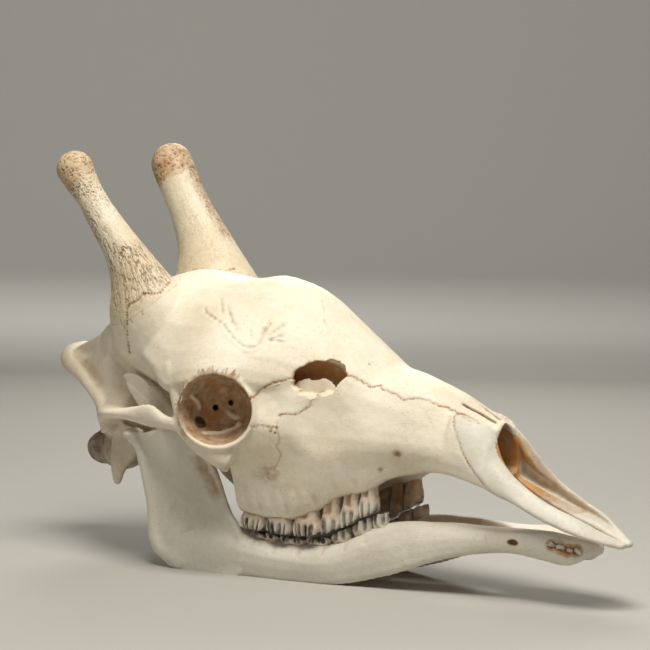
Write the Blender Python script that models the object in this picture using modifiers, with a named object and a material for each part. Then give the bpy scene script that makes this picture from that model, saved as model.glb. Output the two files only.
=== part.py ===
# Giraffe skull, life size, resting on its lower jaw.
# Metres, +Z up, snout towards +X, the animal's left side towards +Y, floor at z = 0.
# Every bone is its own solid. Bones meet at their sutures with a gap of 0.3 mm.

import math

import bmesh
import bpy
import numpy as np
from mathutils import Matrix, Vector

# Driving dimensions

SUTURE_GAP = 0.0003
CRANIUM_VOXEL = 0.0026
JAW_VOXEL = 0.0024
CENTRE_SHIFT_X = 0.00375

CRANIUM_TRIANGLES = 5200
JAW_TRIANGLES = 950

# Bone colours: ivory, greyer at the snout and the jaw, tan at the horns
IVORY = (0.82, 0.76, 0.62)
COLOURS = {
    "ossicone": (0.72, 0.58, 0.40),
    "premaxilla": (0.78, 0.76, 0.70),
    "mandible": (0.76, 0.73, 0.64),
}
ROUGHNESS = 0.6

# The dome of the forehead, from the back of the skull to the nasal bones.
# Each rail is a line of (x, y, z) points along one side; y is the half breadth.
BROW_RAILS = [
    [(-0.250, 0, 0.224), (-0.215, 0, 0.250), (-0.180, 0, 0.278), (-0.150, 0, 0.283), (-0.120, 0, 0.279),
     (-0.090, 0, 0.277), (-0.060, 0, 0.281), (-0.031, 0, 0.275), (-0.007, 0, 0.263), (0.020, 0, 0.243),
     (0.050, 0, 0.219), (0.070, 0, 0.206)],
    [(-0.250, 0.030, 0.216), (-0.215, 0.052, 0.236), (-0.180, 0.066, 0.256), (-0.145, 0.066, 0.256),
     (-0.105, 0.066, 0.253), (-0.060, 0.064, 0.250), (-0.020, 0.056, 0.240), (0.020, 0.044, 0.222),
     (0.070, 0.032, 0.194)],
    [(-0.250, 0.046, 0.207), (-0.207, 0.070, 0.209), (-0.151, 0.092, 0.200), (-0.120, 0.106, 0.190),
     (-0.090, 0.113, 0.196), (-0.060, 0.109, 0.200), (-0.030, 0.095, 0.198), (0, 0.078, 0.192),
     (0.028, 0.064, 0.188), (0.070, 0.046, 0.174)],
    [(-0.250, 0.036, 0.185), (-0.207, 0.058, 0.182), (-0.151, 0.078, 0.176), (-0.120, 0.092, 0.168),
     (-0.090, 0.100, 0.172), (-0.060, 0.098, 0.180), (-0.030, 0.082, 0.172), (0, 0.064, 0.165),
     (0.070, 0.036, 0.155)],
    [(-0.250, 0, 0.170), (-0.207, 0, 0.165), (-0.120, 0, 0.155), (-0.030, 0, 0.160), (0.070, 0, 0.150)],
]

# The case of the brain, with the temple walls and the skull base
BRAINCASE_RAILS = [
    [(-0.272, 0, 0.216), (-0.250, 0, 0.232), (-0.230, 0, 0.243), (-0.200, 0, 0.258), (-0.150, 0, 0.270),
     (-0.060, 0, 0.250)],
    [(-0.272, 0.026, 0.210), (-0.250, 0.040, 0.221), (-0.230, 0.047, 0.228), (-0.200, 0.052, 0.232),
     (-0.150, 0.056, 0.240), (-0.060, 0.050, 0.225)],
    [(-0.272, 0.030, 0.160), (-0.250, 0.050, 0.156), (-0.230, 0.057, 0.158), (-0.200, 0.057, 0.168),
     (-0.150, 0.052, 0.172), (-0.100, 0.050, 0.165), (-0.060, 0.046, 0.160)],
    [(-0.272, 0.022, 0.122), (-0.250, 0.042, 0.117), (-0.230, 0.052, 0.116), (-0.200, 0.046, 0.118),
     (-0.150, 0.034, 0.118), (-0.060, 0.028, 0.112)],
    [(-0.272, 0, 0.110), (-0.250, 0, 0.101), (-0.230, 0, 0.101), (-0.200, 0, 0.104), (-0.150, 0, 0.110),
     (-0.060, 0, 0.106)],
]

# The upper jaw and the nose, from behind the last molar to the nasal tips
FACE_RAILS = [
    [(-0.062, 0, 0.245), (-0.030, 0, 0.262), (0, 0, 0.256), (0.028, 0, 0.236), (0.050, 0, 0.219),
     (0.075, 0, 0.204), (0.100, 0, 0.197), (0.140, 0, 0.183), (0.165, 0, 0.171), (0.190, 0, 0.158)],
    [(-0.062, 0.050, 0.228), (-0.030, 0.054, 0.240), (0, 0.051, 0.229), (0.028, 0.043, 0.216),
     (0.050, 0.038, 0.203), (0.075, 0.032, 0.191), (0.100, 0.027, 0.187), (0.140, 0.021, 0.175),
     (0.190, 0.012, 0.153)],
    [(-0.062, 0.083, 0.177), (-0.030, 0.086, 0.188), (0, 0.075, 0.190), (0.028, 0.063, 0.189),
     (0.050, 0.054, 0.183), (0.075, 0.045, 0.173), (0.100, 0.039, 0.168), (0.140, 0.033, 0.160),
     (0.190, 0.030, 0.140)],
    [(-0.062, 0.092, 0.130), (-0.030, 0.097, 0.142), (0, 0.087, 0.142), (0.030, 0.073, 0.140),
     (0.060, 0.062, 0.138), (0.100, 0.050, 0.136), (0.140, 0.043, 0.134), (0.190, 0.041, 0.118)],
    [(-0.062, 0.079, 0.093), (-0.030, 0.081, 0.099), (0, 0.077, 0.097), (0.030, 0.068, 0.101),
     (0.060, 0.056, 0.109), (0.100, 0.045, 0.117), (0.140, 0.041, 0.119), (0.190, 0.041, 0.106)],
    [(-0.062, 0.068, 0.062), (-0.038, 0.070, 0.060), (-0.004, 0.067, 0.060), (0.018, 0.061, 0.068),
     (0.042, 0.053, 0.083), (0.066, 0.046, 0.089), (0.086, 0.042, 0.101), (0.109, 0.038, 0.108),
     (0.135, 0.038, 0.112), (0.157, 0.039, 0.110), (0.190, 0.039, 0.102)],
    [(-0.062, 0.046, 0.064), (-0.038, 0.045, 0.062), (-0.004, 0.043, 0.062), (0.018, 0.039, 0.070),
     (0.042, 0.032, 0.085), (0.066, 0.027, 0.091), (0.086, 0.026, 0.102), (0.109, 0.026, 0.107),
     (0.135, 0.027, 0.111), (0.157, 0.028, 0.110), (0.190, 0.029, 0.103)],
    [(-0.062, 0, 0.096), (-0.004, 0, 0.094), (0.042, 0, 0.101), (0.086, 0, 0.110), (0.135, 0, 0.116),
     (0.190, 0, 0.110)],
]

# The nasal cavity, open at the front
NOSE_RAILS = [
    [(0.080, 0, 0.180), (0.110, 0, 0.183), (0.140, 0, 0.176), (0.170, 0, 0.163), (0.215, 0, 0.150)],
    [(0.080, 0.012, 0.170), (0.110, 0.016, 0.172), (0.140, 0.015, 0.168), (0.170, 0.013, 0.157),
     (0.215, 0.010, 0.140)],
    [(0.080, 0.016, 0.150), (0.110, 0.026, 0.150), (0.140, 0.029, 0.146), (0.170, 0.030, 0.138),
     (0.215, 0.030, 0.125)],
    [(0.080, 0.012, 0.130), (0.110, 0.022, 0.124), (0.140, 0.027, 0.121), (0.170, 0.030, 0.118),
     (0.215, 0.031, 0.112)],
    [(0.080, 0, 0.124), (0.110, 0, 0.119), (0.140, 0, 0.117), (0.215, 0, 0.112)],
]

# One premaxilla: rails run round its section, from the outer edge of the nose opening
PREMAXILLA_RAILS = [
    [(0.150, 0.031, 0.165), (0.175, 0.028, 0.159), (0.188, 0.023, 0.150), (0.197, 0.024, 0.131),
     (0.209, 0.027, 0.117), (0.224, 0.029, 0.107), (0.247, 0.030, 0.094), (0.277, 0.025, 0.082),
     (0.303, 0.014, 0.068), (0.314, 0.008, 0.062)],
    [(0.150, 0.038, 0.152), (0.175, 0.038, 0.142), (0.197, 0.036, 0.120), (0.224, 0.036, 0.100),
     (0.247, 0.036, 0.088), (0.277, 0.032, 0.077), (0.303, 0.020, 0.065), (0.314, 0.011, 0.060)],
    [(0.150, 0.042, 0.128), (0.172, 0.042, 0.118), (0.194, 0.040, 0.101), (0.220, 0.039, 0.091),
     (0.252, 0.037, 0.077), (0.283, 0.033, 0.067), (0.303, 0.021, 0.060), (0.314, 0.011, 0.056)],
    [(0.150, 0.034, 0.120), (0.194, 0.020, 0.100), (0.220, 0.014, 0.089), (0.252, 0.011, 0.077),
     (0.283, 0.007, 0.067), (0.314, 0.001, 0.056)],
    [(0.150, 0.034, 0.130), (0.194, 0.020, 0.105), (0.220, 0.014, 0.094), (0.252, 0.011, 0.082),
     (0.283, 0.007, 0.073), (0.314, 0.001, 0.061)],
    [(0.150, 0.033, 0.140), (0.194, 0.032, 0.108), (0.220, 0.030, 0.096), (0.252, 0.027, 0.083),
     (0.283, 0.021, 0.073), (0.314, 0.005, 0.062)],
    [(0.150, 0.028, 0.163), (0.175, 0.023, 0.157), (0.188, 0.018, 0.149), (0.197, 0.019, 0.130),
     (0.209, 0.022, 0.116), (0.224, 0.024, 0.106), (0.247, 0.025, 0.093), (0.277, 0.020, 0.081),
     (0.303, 0.010, 0.069), (0.314, 0.004, 0.063)],
]

# Eye socket: centre of its rim, half sizes, and how far its face turns to the front
ORBIT_CENTRE = (-0.059, -0.108, 0.159)
ORBIT_HALF_LENGTH = 0.0375
ORBIT_HALF_HEIGHT = 0.0350
ORBIT_TURN = math.radians(17)
ORBIT_RIM = 0.003
# Rings of the bone behind the rim: (depth, growth, shift to the front)
SOCKET_RINGS = [(0, 1.0, 0), (-0.010, 1.05, 0.002), (-0.025, 1.12, 0.008), (-0.045, 1.15, 0.016)]

# Zygomatic arch: (x, y, z, half thickness, half height)
ARCH_PATH = [
    (-0.050, -0.094, 0.112, 0.010, 0.014), (-0.078, -0.104, 0.127, 0.008, 0.012),
    (-0.100, -0.110, 0.142, 0.006, 0.009), (-0.121, -0.106, 0.144, 0.005, 0.008),
    (-0.146, -0.098, 0.147, 0.005, 0.011), (-0.170, -0.090, 0.146, 0.006, 0.008),
    (-0.192, -0.082, 0.1445, 0.011, 0.0055), (-0.215, -0.068, 0.142, 0.016, 0.008),
    (-0.232, -0.052, 0.136, 0.014, 0.014),
]

# Ridge at the back of the skull: (x, y, z, half thickness, half height)
NUCHAL_PATH = [
    (-0.226, -0.062, 0.122, 0.008, 0.009), (-0.231, -0.062, 0.140, 0.007, 0.007),
    (-0.243, -0.056, 0.156, 0.008, 0.008), (-0.268, -0.046, 0.174, 0.010, 0.010),
    (-0.296, -0.032, 0.186, 0.014, 0.013), (-0.308, -0.014, 0.190, 0.016, 0.015),
    (-0.310, 0.0, 0.190, 0.015, 0.015),
]

# Bony spur beside the neck joint
SPUR_PATH = [
    (-0.206, -0.050, 0.128, 0.012, 0.022), (-0.211, -0.056, 0.107, 0.006, 0.018),
    (-0.216, -0.059, 0.089, 0.005, 0.010), (-0.217, -0.060, 0.073, 0.003, 0.0045),
]

# Thin wing of bone beside the opening of the throat
WING_PATH = [
    (-0.122, -0.030, 0.118, 0.004, 0.012), (-0.100, -0.027, 0.104, 0.004, 0.022),
    (-0.078, -0.026, 0.096, 0.004, 0.026), (-0.050, -0.028, 0.090, 0.006, 0.020),
]

# Rounded bosses and hollows: (centre, half sizes)
CONDYLE = ((-0.259, -0.026, 0.101), (0.020, 0.017, 0.017))
CONDYLE_TURN = 0.4
BULLA = ((-0.205, -0.036, 0.104), (0.016, 0.010, 0.013))
TORUS = ((-0.288, 0, 0.188), (0.028, 0.036, 0.016))
EYE_HOLLOW = ((-0.062, -0.118, 0.159), (0.0345, 0.062, 0.0325))
VACUITY = ((0.028, -0.068, 0.190), (0.027, 0.024, 0.0175))
VACUITY_TURN = -0.45
THROAT_HOLLOW = ((-0.075, 0, 0.090), (0.070, 0.020, 0.022))
NECK_HOLE = ((-0.290, 0, 0.122), (0.036, 0.016, 0.014))

# Horns: (x, y, z, radius across, radius along), base to tip
OSSICONE_RIGHT_PATH = [
    (-0.166, -0.038, 0.180, 0.024, 0.034), (-0.171, -0.050, 0.212, 0.036, 0.046),
    (-0.180, -0.061, 0.248, 0.034, 0.042),
    (-0.190, -0.066, 0.276, 0.024, 0.029), (-0.205, -0.069, 0.302, 0.018, 0.020),
    (-0.226, -0.071, 0.329, 0.0155, 0.016), (-0.243, -0.073, 0.353, 0.0145, 0.0145),
    (-0.254, -0.074, 0.368, 0.0165, 0.0165), (-0.261, -0.075, 0.379, 0.0185, 0.0185),
]
OSSICONE_LEFT_PATH = [
    (-0.166, 0.036, 0.180, 0.026, 0.036), (-0.172, 0.046, 0.212, 0.040, 0.050),
    (-0.185, 0.056, 0.248, 0.042, 0.050),
    (-0.198, 0.062, 0.278, 0.033, 0.039), (-0.211, 0.068, 0.304, 0.026, 0.029),
    (-0.228, 0.072, 0.330, 0.0215, 0.0235), (-0.244, 0.075, 0.354, 0.0205, 0.0215),
    (-0.255, 0.077, 0.372, 0.0210, 0.0215), (-0.262, 0.078, 0.384, 0.0215, 0.0215),
]

# Lower jaw body: rails round one half's section, outer side first
JAW_RAILS = [
    [(-0.130, 0.078, 0.055), (-0.080, 0.073, 0.048), (-0.040, 0.061, 0.034), (0, 0.057, 0.032),
     (0.040, 0.050, 0.037), (0.085, 0.038, 0.057), (0.140, 0.027, 0.063), (0.200, 0.021, 0.064),
     (0.245, 0.023, 0.067), (0.268, 0.021, 0.064), (0.286, 0.008, 0.060)],
    [(-0.130, 0.083, 0.030), (-0.080, 0.080, 0.028), (-0.040, 0.073, 0.022), (0, 0.068, 0.019),
     (0.040, 0.060, 0.021), (0.085, 0.047, 0.037), (0.140, 0.037, 0.050), (0.200, 0.028, 0.055),
     (0.245, 0.028, 0.055), (0.268, 0.025, 0.053), (0.286, 0.010, 0.053)],
    [(-0.130, 0.077, -0.004), (-0.098, 0.074, -0.004), (-0.047, 0.066, -0.004), (0.005, 0.060, -0.0035),
     (0.038, 0.055, -0.001), (0.060, 0.050, 0.003), (0.085, 0.046, 0.010), (0.110, 0.042, 0.018),
     (0.135, 0.037, 0.028), (0.158, 0.032, 0.035), (0.182, 0.027, 0.040), (0.210, 0.022, 0.043),
     (0.242, 0.021, 0.040), (0.268, 0.019, 0.038), (0.286, 0.008, 0.047)],
    [(-0.130, 0.072, 0.028), (-0.080, 0.062, 0.026), (-0.040, 0.048, 0.018), (0, 0.043, 0.016),
     (0.040, 0.036, 0.018), (0.085, 0.026, 0.034), (0.140, 0.017, 0.047), (0.185, 0.008, 0.052),
     (0.210, -0.006, 0.053), (0.286, -0.006, 0.050)],
    [(-0.130, 0.072, 0.055), (-0.080, 0.062, 0.048), (-0.040, 0.042, 0.034), (0, 0.040, 0.032),
     (0.040, 0.034, 0.037), (0.085, 0.027, 0.057), (0.140, 0.018, 0.063), (0.185, 0.008, 0.063),
     (0.210, -0.006, 0.062), (0.286, -0.006, 0.058)],
]

# Side outline of the ramus, (x, z), up the front edge and down the back
RAMUS_OUTLINE = [
    (-0.052, 0.020), (-0.060, 0.046), (-0.0690, 0.060), (-0.0755, 0.078), (-0.087, 0.100), (-0.1035, 0.124),
    (-0.126, 0.146), (-0.150, 0.166), (-0.172, 0.179), (-0.190, 0.184), (-0.197, 0.179),
    (-0.184, 0.166), (-0.170, 0.150), (-0.166, 0.136), (-0.178, 0.128), (-0.186, 0.121),
    (-0.174, 0.112), (-0.166, 0.092), (-0.160, 0.063), (-0.158, 0.036), (-0.156, 0.016),
    (-0.145, 0.005), (-0.125, -0.002), (-0.098, -0.003), (-0.060, -0.003),
]
RAMUS_THICKNESS = 0.009

RAMUS_CENTRE = (-0.125, -0.0775, 0.080)
RAMUS_FLARE = 0.09
RAMUS_TUCK = 0.07
JAW_CONDYLE = ((-0.187, -0.077, 0.1255), (0.010, 0.016, 0.0065))
# Thick rear border of the ramus, down to the angle of the jaw
RAMUS_REAR_PATH = [
    (-0.184, -0.079, 0.122, 0.005, 0.006), (-0.170, -0.080, 0.110, 0.006, 0.006),
    (-0.158, -0.079, 0.060, 0.006, 0.006), (-0.152, -0.078, 0.020, 0.007, 0.008),
    (-0.125, -0.077, 0.008, 0.007, 0.009),
]

# Cheek teeth, back to front: (centre x, outer y, length, width, lobes)
UPPER_TEETH = [
    (-0.047, 0.071, 0.028, 0.026, 2), (-0.018, 0.070, 0.028, 0.027, 2), (0.010, 0.066, 0.027, 0.026, 2),
    (0.0325, 0.058, 0.020, 0.024, 1), (0.0505, 0.052, 0.019, 0.022, 1), (0.067, 0.047, 0.017, 0.019, 1),
]
LOWER_TEETH = [
    (-0.040, 0.061, 0.032, 0.018, 2), (-0.009, 0.058, 0.027, 0.018, 2), (0.017, 0.054, 0.026, 0.017, 2),
    (0.040, 0.049, 0.020, 0.015, 1), (0.060, 0.044, 0.019, 0.014, 1), (0.078, 0.040, 0.015, 0.012, 1),
]
# Heights along the tooth rows: (x, z)
UPPER_GUM = [(-0.062, 0.061), (-0.004, 0.061), (0.018, 0.069), (0.042, 0.085), (0.080, 0.091)]
BITE_LINE = [(-0.062, 0.044), (-0.030, 0.042), (0, 0.041), (0.022, 0.043), (0.045, 0.052), (0.066, 0.064),
             (0.090, 0.073)]
LOWER_GUM = [(-0.062, 0.040), (-0.040, 0.034), (0, 0.032), (0.040, 0.037), (0.060, 0.045), (0.090, 0.058)]
BITE_GAP = 0.0006
CUSP_HEIGHT = 0.0022
ROOT_DEPTH = 0.012


def clear_scene():
    for item in list(bpy.data.objects):
        bpy.data.objects.remove(item, do_unlink=True)


def curve_value(points, at, column):
    """Smooth curve through hand-set points, read at one place."""
    xs = [point[0] for point in points]
    vs = [point[column] for point in points]
    at = min(max(at, xs[0]), xs[-1])
    last = len(xs) - 1
    slopes = [
        (vs[min(i + 1, last)] - vs[max(i - 1, 0)]) / (xs[min(i + 1, last)] - xs[max(i - 1, 0)])
        for i in range(last + 1)
    ]
    span = min(max(int(np.searchsorted(xs, at)) - 1, 0), last - 1)
    width = xs[span + 1] - xs[span]
    t = (at - xs[span]) / width
    blend = t * t * (3 - 2 * t)
    value = vs[span] * (1 - blend) + vs[span + 1] * blend
    value += width * slopes[span] * t * (1 - t) ** 2
    value -= width * slopes[span + 1] * t * t * (1 - t)
    return value


def spline_points(points, per_span, closed=False):
    """Catmull-Rom points through a list of points of any size."""
    points = [np.asarray(point, float) for point in points]
    count = len(points)
    spans = count if closed else count - 1
    result = []
    for i in range(spans):
        if closed:
            before, start, end, after = (points[(i + k) % count] for k in (-1, 0, 1, 2))
        else:
            before, start = points[max(i - 1, 0)], points[i]
            end, after = points[i + 1], points[min(i + 2, count - 1)]
        for step in range(per_span):
            t = step / per_span
            result.append(
                0.5 * (2 * start + (end - before) * t + (2 * before - 5 * start + 4 * end - after) * t * t
                       + (3 * start - before - 3 * end + after) * t ** 3)
            )
    if not closed:
        result.append(points[-1])
    return result


def link(name, mesh, collection):
    item = bpy.data.objects.new(name, mesh)
    collection.objects.link(item)
    return item


def mesh_from_rings(name, rings, collection):
    """Closed skin over rings of equal count, with a fan at each end."""
    shape = bmesh.new()
    rows = [[shape.verts.new(Vector(point)) for point in ring] for ring in rings]
    for low, high in zip(rows[:-1], rows[1:]):
        count = len(low)
        for i in range(count):
            shape.faces.new((low[i], low[(i + 1) % count], high[(i + 1) % count], high[i]))
    for row in (rows[0], rows[-1]):
        centre = sum((vertex.co for vertex in row), Vector()) / len(row)
        tip = shape.verts.new(centre)
        for i in range(len(row)):
            shape.faces.new((row[i], row[(i + 1) % len(row)], tip))
    bmesh.ops.recalc_face_normals(shape, faces=shape.faces)
    mesh = bpy.data.meshes.new(name)
    shape.to_mesh(mesh)
    shape.free()
    return link(name, mesh, collection)


def rounded_end(ring, depth, steps=3):
    """Rings that close a loft's end like a dome, from the end ring outwards."""
    centre = sum(ring) / len(ring)
    result = []
    for step in range(1, steps + 1):
        turn = step / steps * math.radians(80)
        shrink = math.cos(turn)
        offset = np.array([depth * math.sin(turn), 0, 0])
        result.append([centre + (point - centre) * shrink + offset for point in ring])
    return result


def railed_loft(name, rails, collection, stations=24, per_span=3, mirrored=True, ends=(0, 0)):
    """Loft along x whose sections pass through every rail."""
    start = max(rail[0][0] for rail in rails)
    end = min(rail[-1][0] for rail in rails)
    rings = []
    for x in np.linspace(start, end, stations):
        half = [np.array([x, curve_value(rail, x, 1), curve_value(rail, x, 2)]) for rail in rails]
        if mirrored:
            other = [point * np.array([1, -1, 1]) for point in half[-2:0:-1]]
            outline = half + other
        else:
            outline = [point * np.array([1, -1, 1]) for point in half]
        rings.append(spline_points(outline, per_span, closed=True))
    if ends[0]:
        rings = rounded_end(rings[0], -ends[0])[::-1] + rings
    if ends[1]:
        rings = rings + rounded_end(rings[-1], ends[1])
    return mesh_from_rings(name, rings, collection)


def bar(name, path, collection, sides=14, per_span=4, rounded=True):
    """Bar along a path of (x, y, z, half thickness, half height)."""
    points = spline_points(path, per_span)
    rings = []
    for i, point in enumerate(points):
        ahead = points[min(i + 1, len(points) - 1)][:3] - points[max(i - 1, 0)][:3]
        ahead = Vector(ahead).normalized()
        side = ahead.cross(Vector((0, 0, 1))) if abs(ahead.z) < 0.8 else ahead.cross(Vector((1, 0, 0)))
        side.normalize()
        up = side.cross(ahead)
        ring = []
        for k in range(sides):
            turn = math.tau * k / sides
            offset = side * (math.cos(turn) * point[3]) + up * (math.sin(turn) * point[4])
            ring.append(np.array(Vector(point[:3]) + offset))
        rings.append((np.array(point[:3]), ahead, ring))
    result = [ring for _, _, ring in rings]
    if rounded:
        centre, ahead, ring = rings[-1]
        reach = float(min(points[-1][3], points[-1][4]))
        for step in range(1, 4):
            turn = math.radians(80) * step / 3
            shift = np.array(ahead) * reach * math.sin(turn)
            result.append([centre + (p - centre) * math.cos(turn) + shift for p in ring])
    return mesh_from_rings(name, result, collection)


def ellipsoid(name, centre, half_sizes, collection, turn=0.0, segments=24):
    """Ellipsoid, turned about the vertical."""
    shape = bmesh.new()
    bmesh.ops.create_uvsphere(shape, u_segments=segments, v_segments=segments // 2, radius=1.0)
    place = Matrix.Translation(centre) @ Matrix.Rotation(turn, 4, "Z") @ Matrix.Diagonal((*half_sizes, 1))
    bmesh.ops.transform(shape, matrix=place, verts=shape.verts)
    mesh = bpy.data.meshes.new(name)
    shape.to_mesh(mesh)
    shape.free()
    return link(name, mesh, collection)


def mirrored_copy(source, name, collection):
    """The same form on the other side of the skull."""
    shape = bmesh.new()
    shape.from_mesh(source.data)
    bmesh.ops.transform(shape, matrix=Matrix.Diagonal((1, -1, 1, 1)), verts=shape.verts)
    bmesh.ops.reverse_faces(shape, faces=shape.faces)
    mesh = bpy.data.meshes.new(name)
    shape.to_mesh(mesh)
    shape.free()
    return link(name, mesh, collection)


def evaluated_mesh(item):
    depsgraph = bpy.context.evaluated_depsgraph_get()
    return bpy.data.meshes.new_from_object(item.evaluated_get(depsgraph))


def apply_modifiers(item):
    mesh = evaluated_mesh(item)
    item.modifiers.clear()
    item.data = mesh


def carve(item, cutters):
    """Takes every cutter out of the item."""
    for cutter in cutters:
        boolean(item, cutter, "DIFFERENCE")


def remove(items):
    for item in items:
        bpy.data.objects.remove(item, do_unlink=True)


def fuse(name, items, collection, voxel, smoothing=4):
    """One even skin round all the overlapping items."""
    shape = bmesh.new()
    for item in items:
        shape.from_mesh(item.data)
    mesh = bpy.data.meshes.new(name)
    shape.to_mesh(mesh)
    shape.free()
    whole = link(name, mesh, collection)
    remesh = whole.modifiers.new("skin", "REMESH")
    remesh.mode = "VOXEL"
    remesh.voxel_size = voxel
    relax = whole.modifiers.new("relax", "SMOOTH")
    relax.factor = 0.5
    relax.iterations = smoothing
    apply_modifiers(whole)
    remove(items)
    keep_largest(whole)
    return whole


def islands(shape):
    """Loose parts of a mesh, each a list of vertices."""
    left = set(shape.verts)
    found = []
    while left:
        seed = left.pop()
        part = [seed]
        front = [seed]
        while front:
            vertex = front.pop()
            for edge in vertex.link_edges:
                other = edge.other_vert(vertex)
                if other in left:
                    left.remove(other)
                    part.append(other)
                    front.append(other)
        found.append(part)
    return found


def volume_of(part):
    """Volume inside one closed loose part."""
    faces = {face for vertex in part for face in vertex.link_faces}
    total = 0.0
    for face in faces:
        corners = [vertex.co for vertex in face.verts]
        for a, b in zip(corners[1:-1], corners[2:]):
            total += corners[0].dot(a.cross(b)) / 6
    return total


def keep_largest(item):
    shape = bmesh.new()
    shape.from_mesh(item.data)
    parts = sorted(islands(shape), key=volume_of)
    for part in parts[:-1]:
        bmesh.ops.delete(shape, geom=part, context="VERTS")
    shape.to_mesh(item.data)
    shape.free()


def thin_out(item, triangles):
    """Fewer, larger triangles."""
    shape = bmesh.new()
    shape.from_mesh(item.data)
    bmesh.ops.triangulate(shape, faces=shape.faces)
    count = len(shape.faces)
    shape.to_mesh(item.data)
    shape.free()
    decimate = item.modifiers.new("thin out", "DECIMATE")
    decimate.ratio = min(1.0, triangles / count)
    apply_modifiers(item)


def orbit_rim(name, collection):
    """Raised ring round the eye socket."""
    along = Vector((math.cos(ORBIT_TURN), math.sin(ORBIT_TURN), 0))
    up = Vector((0, 0, 1))
    out = along.cross(up)
    rings = []
    steps = 40
    for i in range(steps):
        turn = math.tau * i / steps
        spoke = along * (math.cos(turn) * ORBIT_HALF_LENGTH) + up * (math.sin(turn) * ORBIT_HALF_HEIGHT)
        direction = spoke.normalized()
        thick = ORBIT_RIM * (1.15 - 0.3 * math.cos(turn - 0.6))
        ring = []
        for k in range(10):
            angle = math.tau * k / 10
            offset = direction * (math.cos(angle) * thick) + out * (math.sin(angle) * thick * 1.4)
            ring.append(Vector(ORBIT_CENTRE) + spoke + offset)
        rings.append(ring)
    shape = bmesh.new()
    rows = [[shape.verts.new(point) for point in ring] for ring in rings]
    for i in range(steps):
        low, high = rows[i], rows[(i + 1) % steps]
        for k in range(10):
            shape.faces.new((low[k], low[(k + 1) % 10], high[(k + 1) % 10], high[k]))
    bmesh.ops.recalc_face_normals(shape, faces=shape.faces)
    mesh = bpy.data.meshes.new(name)
    shape.to_mesh(mesh)
    shape.free()
    return link(name, mesh, collection)


def eye_socket_block(name, collection):
    """Flaring bone that carries the rim of the eye socket."""
    along = Vector((math.cos(ORBIT_TURN), math.sin(ORBIT_TURN), 0))
    up = Vector((0, 0, 1))
    out = along.cross(up)
    rings = []
    for depth, grow, ahead in SOCKET_RINGS:
        ring = []
        for i in range(28):
            turn = math.tau * i / 28
            spoke = along * (math.cos(turn) * ORBIT_HALF_LENGTH) + up * (math.sin(turn) * ORBIT_HALF_HEIGHT)
            ring.append(Vector(ORBIT_CENTRE) + spoke * grow + out * depth + along * ahead)
        rings.append(ring)
    return mesh_from_rings(name, rings, collection)


def build_cranium(parts, cutters):
    """The whole upper skull with its horns, as one form."""
    brow = railed_loft("brow", BROW_RAILS, parts, stations=40)
    braincase = railed_loft("case", BRAINCASE_RAILS, parts, stations=26, ends=(0.008, 0))
    face = railed_loft("face", FACE_RAILS, parts, stations=40, ends=(0.004, 0))
    premaxilla = railed_loft("premaxilla", PREMAXILLA_RAILS, parts, 40, mirrored=False, ends=(0, 0.004))
    socket = eye_socket_block("socket", parts)
    rim = orbit_rim("rim", parts)
    arch = bar("arch", ARCH_PATH, parts)
    crest = bar("crest", NUCHAL_PATH, parts, rounded=False)
    spur = bar("spur", SPUR_PATH, parts)
    condyle = ellipsoid("condyle", *CONDYLE, parts, turn=CONDYLE_TURN)
    bulla = ellipsoid("bulla", *BULLA, parts)
    wing = bar("wing", WING_PATH, parts)
    torus = ellipsoid("torus", *TORUS, parts)
    right_horn = bar("right horn", OSSICONE_RIGHT_PATH, parts, sides=20, per_span=5)
    left_horn = bar("left horn", OSSICONE_LEFT_PATH, parts, sides=20, per_span=5)

    eye = ellipsoid("eye hollow", *EYE_HOLLOW, cutters, turn=ORBIT_TURN - 0.1)
    eye_left = mirrored_copy(eye, "eye hollow left", cutters)
    nose = railed_loft("nose hollow", NOSE_RAILS, cutters, stations=20)
    vacuity = ellipsoid("vacuity", *VACUITY, cutters, turn=VACUITY_TURN)
    vacuity_left = mirrored_copy(vacuity, "vacuity left", cutters)
    throat = ellipsoid("throat hollow", *THROAT_HOLLOW, cutters)
    neck_hole = ellipsoid("neck hole", *NECK_HOLE, cutters)

    carve(socket, [eye])
    carve(brow, [eye, eye_left, vacuity, vacuity_left])
    carve(face, [eye, eye_left, vacuity, vacuity_left, nose, throat])
    carve(braincase, [neck_hole])
    sided = [premaxilla, socket, rim, arch, crest, spur, condyle, bulla, wing]
    others = [mirrored_copy(item, item.name + " left", parts) for item in sided]
    forms = [brow, braincase, face, torus, right_horn, left_horn] + sided + others
    cranium = fuse("cranium", forms, parts, CRANIUM_VOXEL)
    remove([eye, eye_left, nose, vacuity, vacuity_left, throat, neck_hole])
    return cranium


# Sutures, drawn in side view as (x, z) lines and pushed through the skull along y

BEYOND = 0.4
CHEEK_LINE = [(-0.083, 0.078), (-0.055, 0.094), (-0.030, 0.112), (-0.014, 0.132), (-0.008, 0.150),
              (0.008, 0.170), (0.016, 0.1905)]
BROW_LINE = [(-0.0828, 0.1600), (-0.060, 0.165), (-0.030, 0.172), (-0.017, 0.181),
             (0.000, 0.187), (0.020, 0.190), (0.046, 0.196), (0.054, 0.212), (0.058, 0.240)]
BRAIN_LINE = [(-0.076, 0.030), (-0.079, 0.120), (-0.083, 0.161), (-0.124, 0.1615), (-0.132, 0.180),
              (-0.142, 0.215), (-0.146, 0.300)]
NASAL_LINE = [(0.030, 0.1990), (0.0455, 0.1965), (0.069, 0.184), (0.086, 0.185), (0.101, 0.176),
              (0.117, 0.177), (0.133, 0.173), (0.151, 0.168), (0.172, 0.160), (0.200, 0.148)]
PREMAXILLA_LINE = [(0.148, 0.185), (0.1510, 0.1680), (0.155, 0.155), (0.160, 0.144), (0.172, 0.130),
                   (0.178, 0.119), (0.188, 0.108), (0.197, 0.100), (0.206, 0.088), (0.215, 0.030)]
ARCH_LINE = [(-0.172, 0.1600), (-0.136, 0.1200)]
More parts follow.
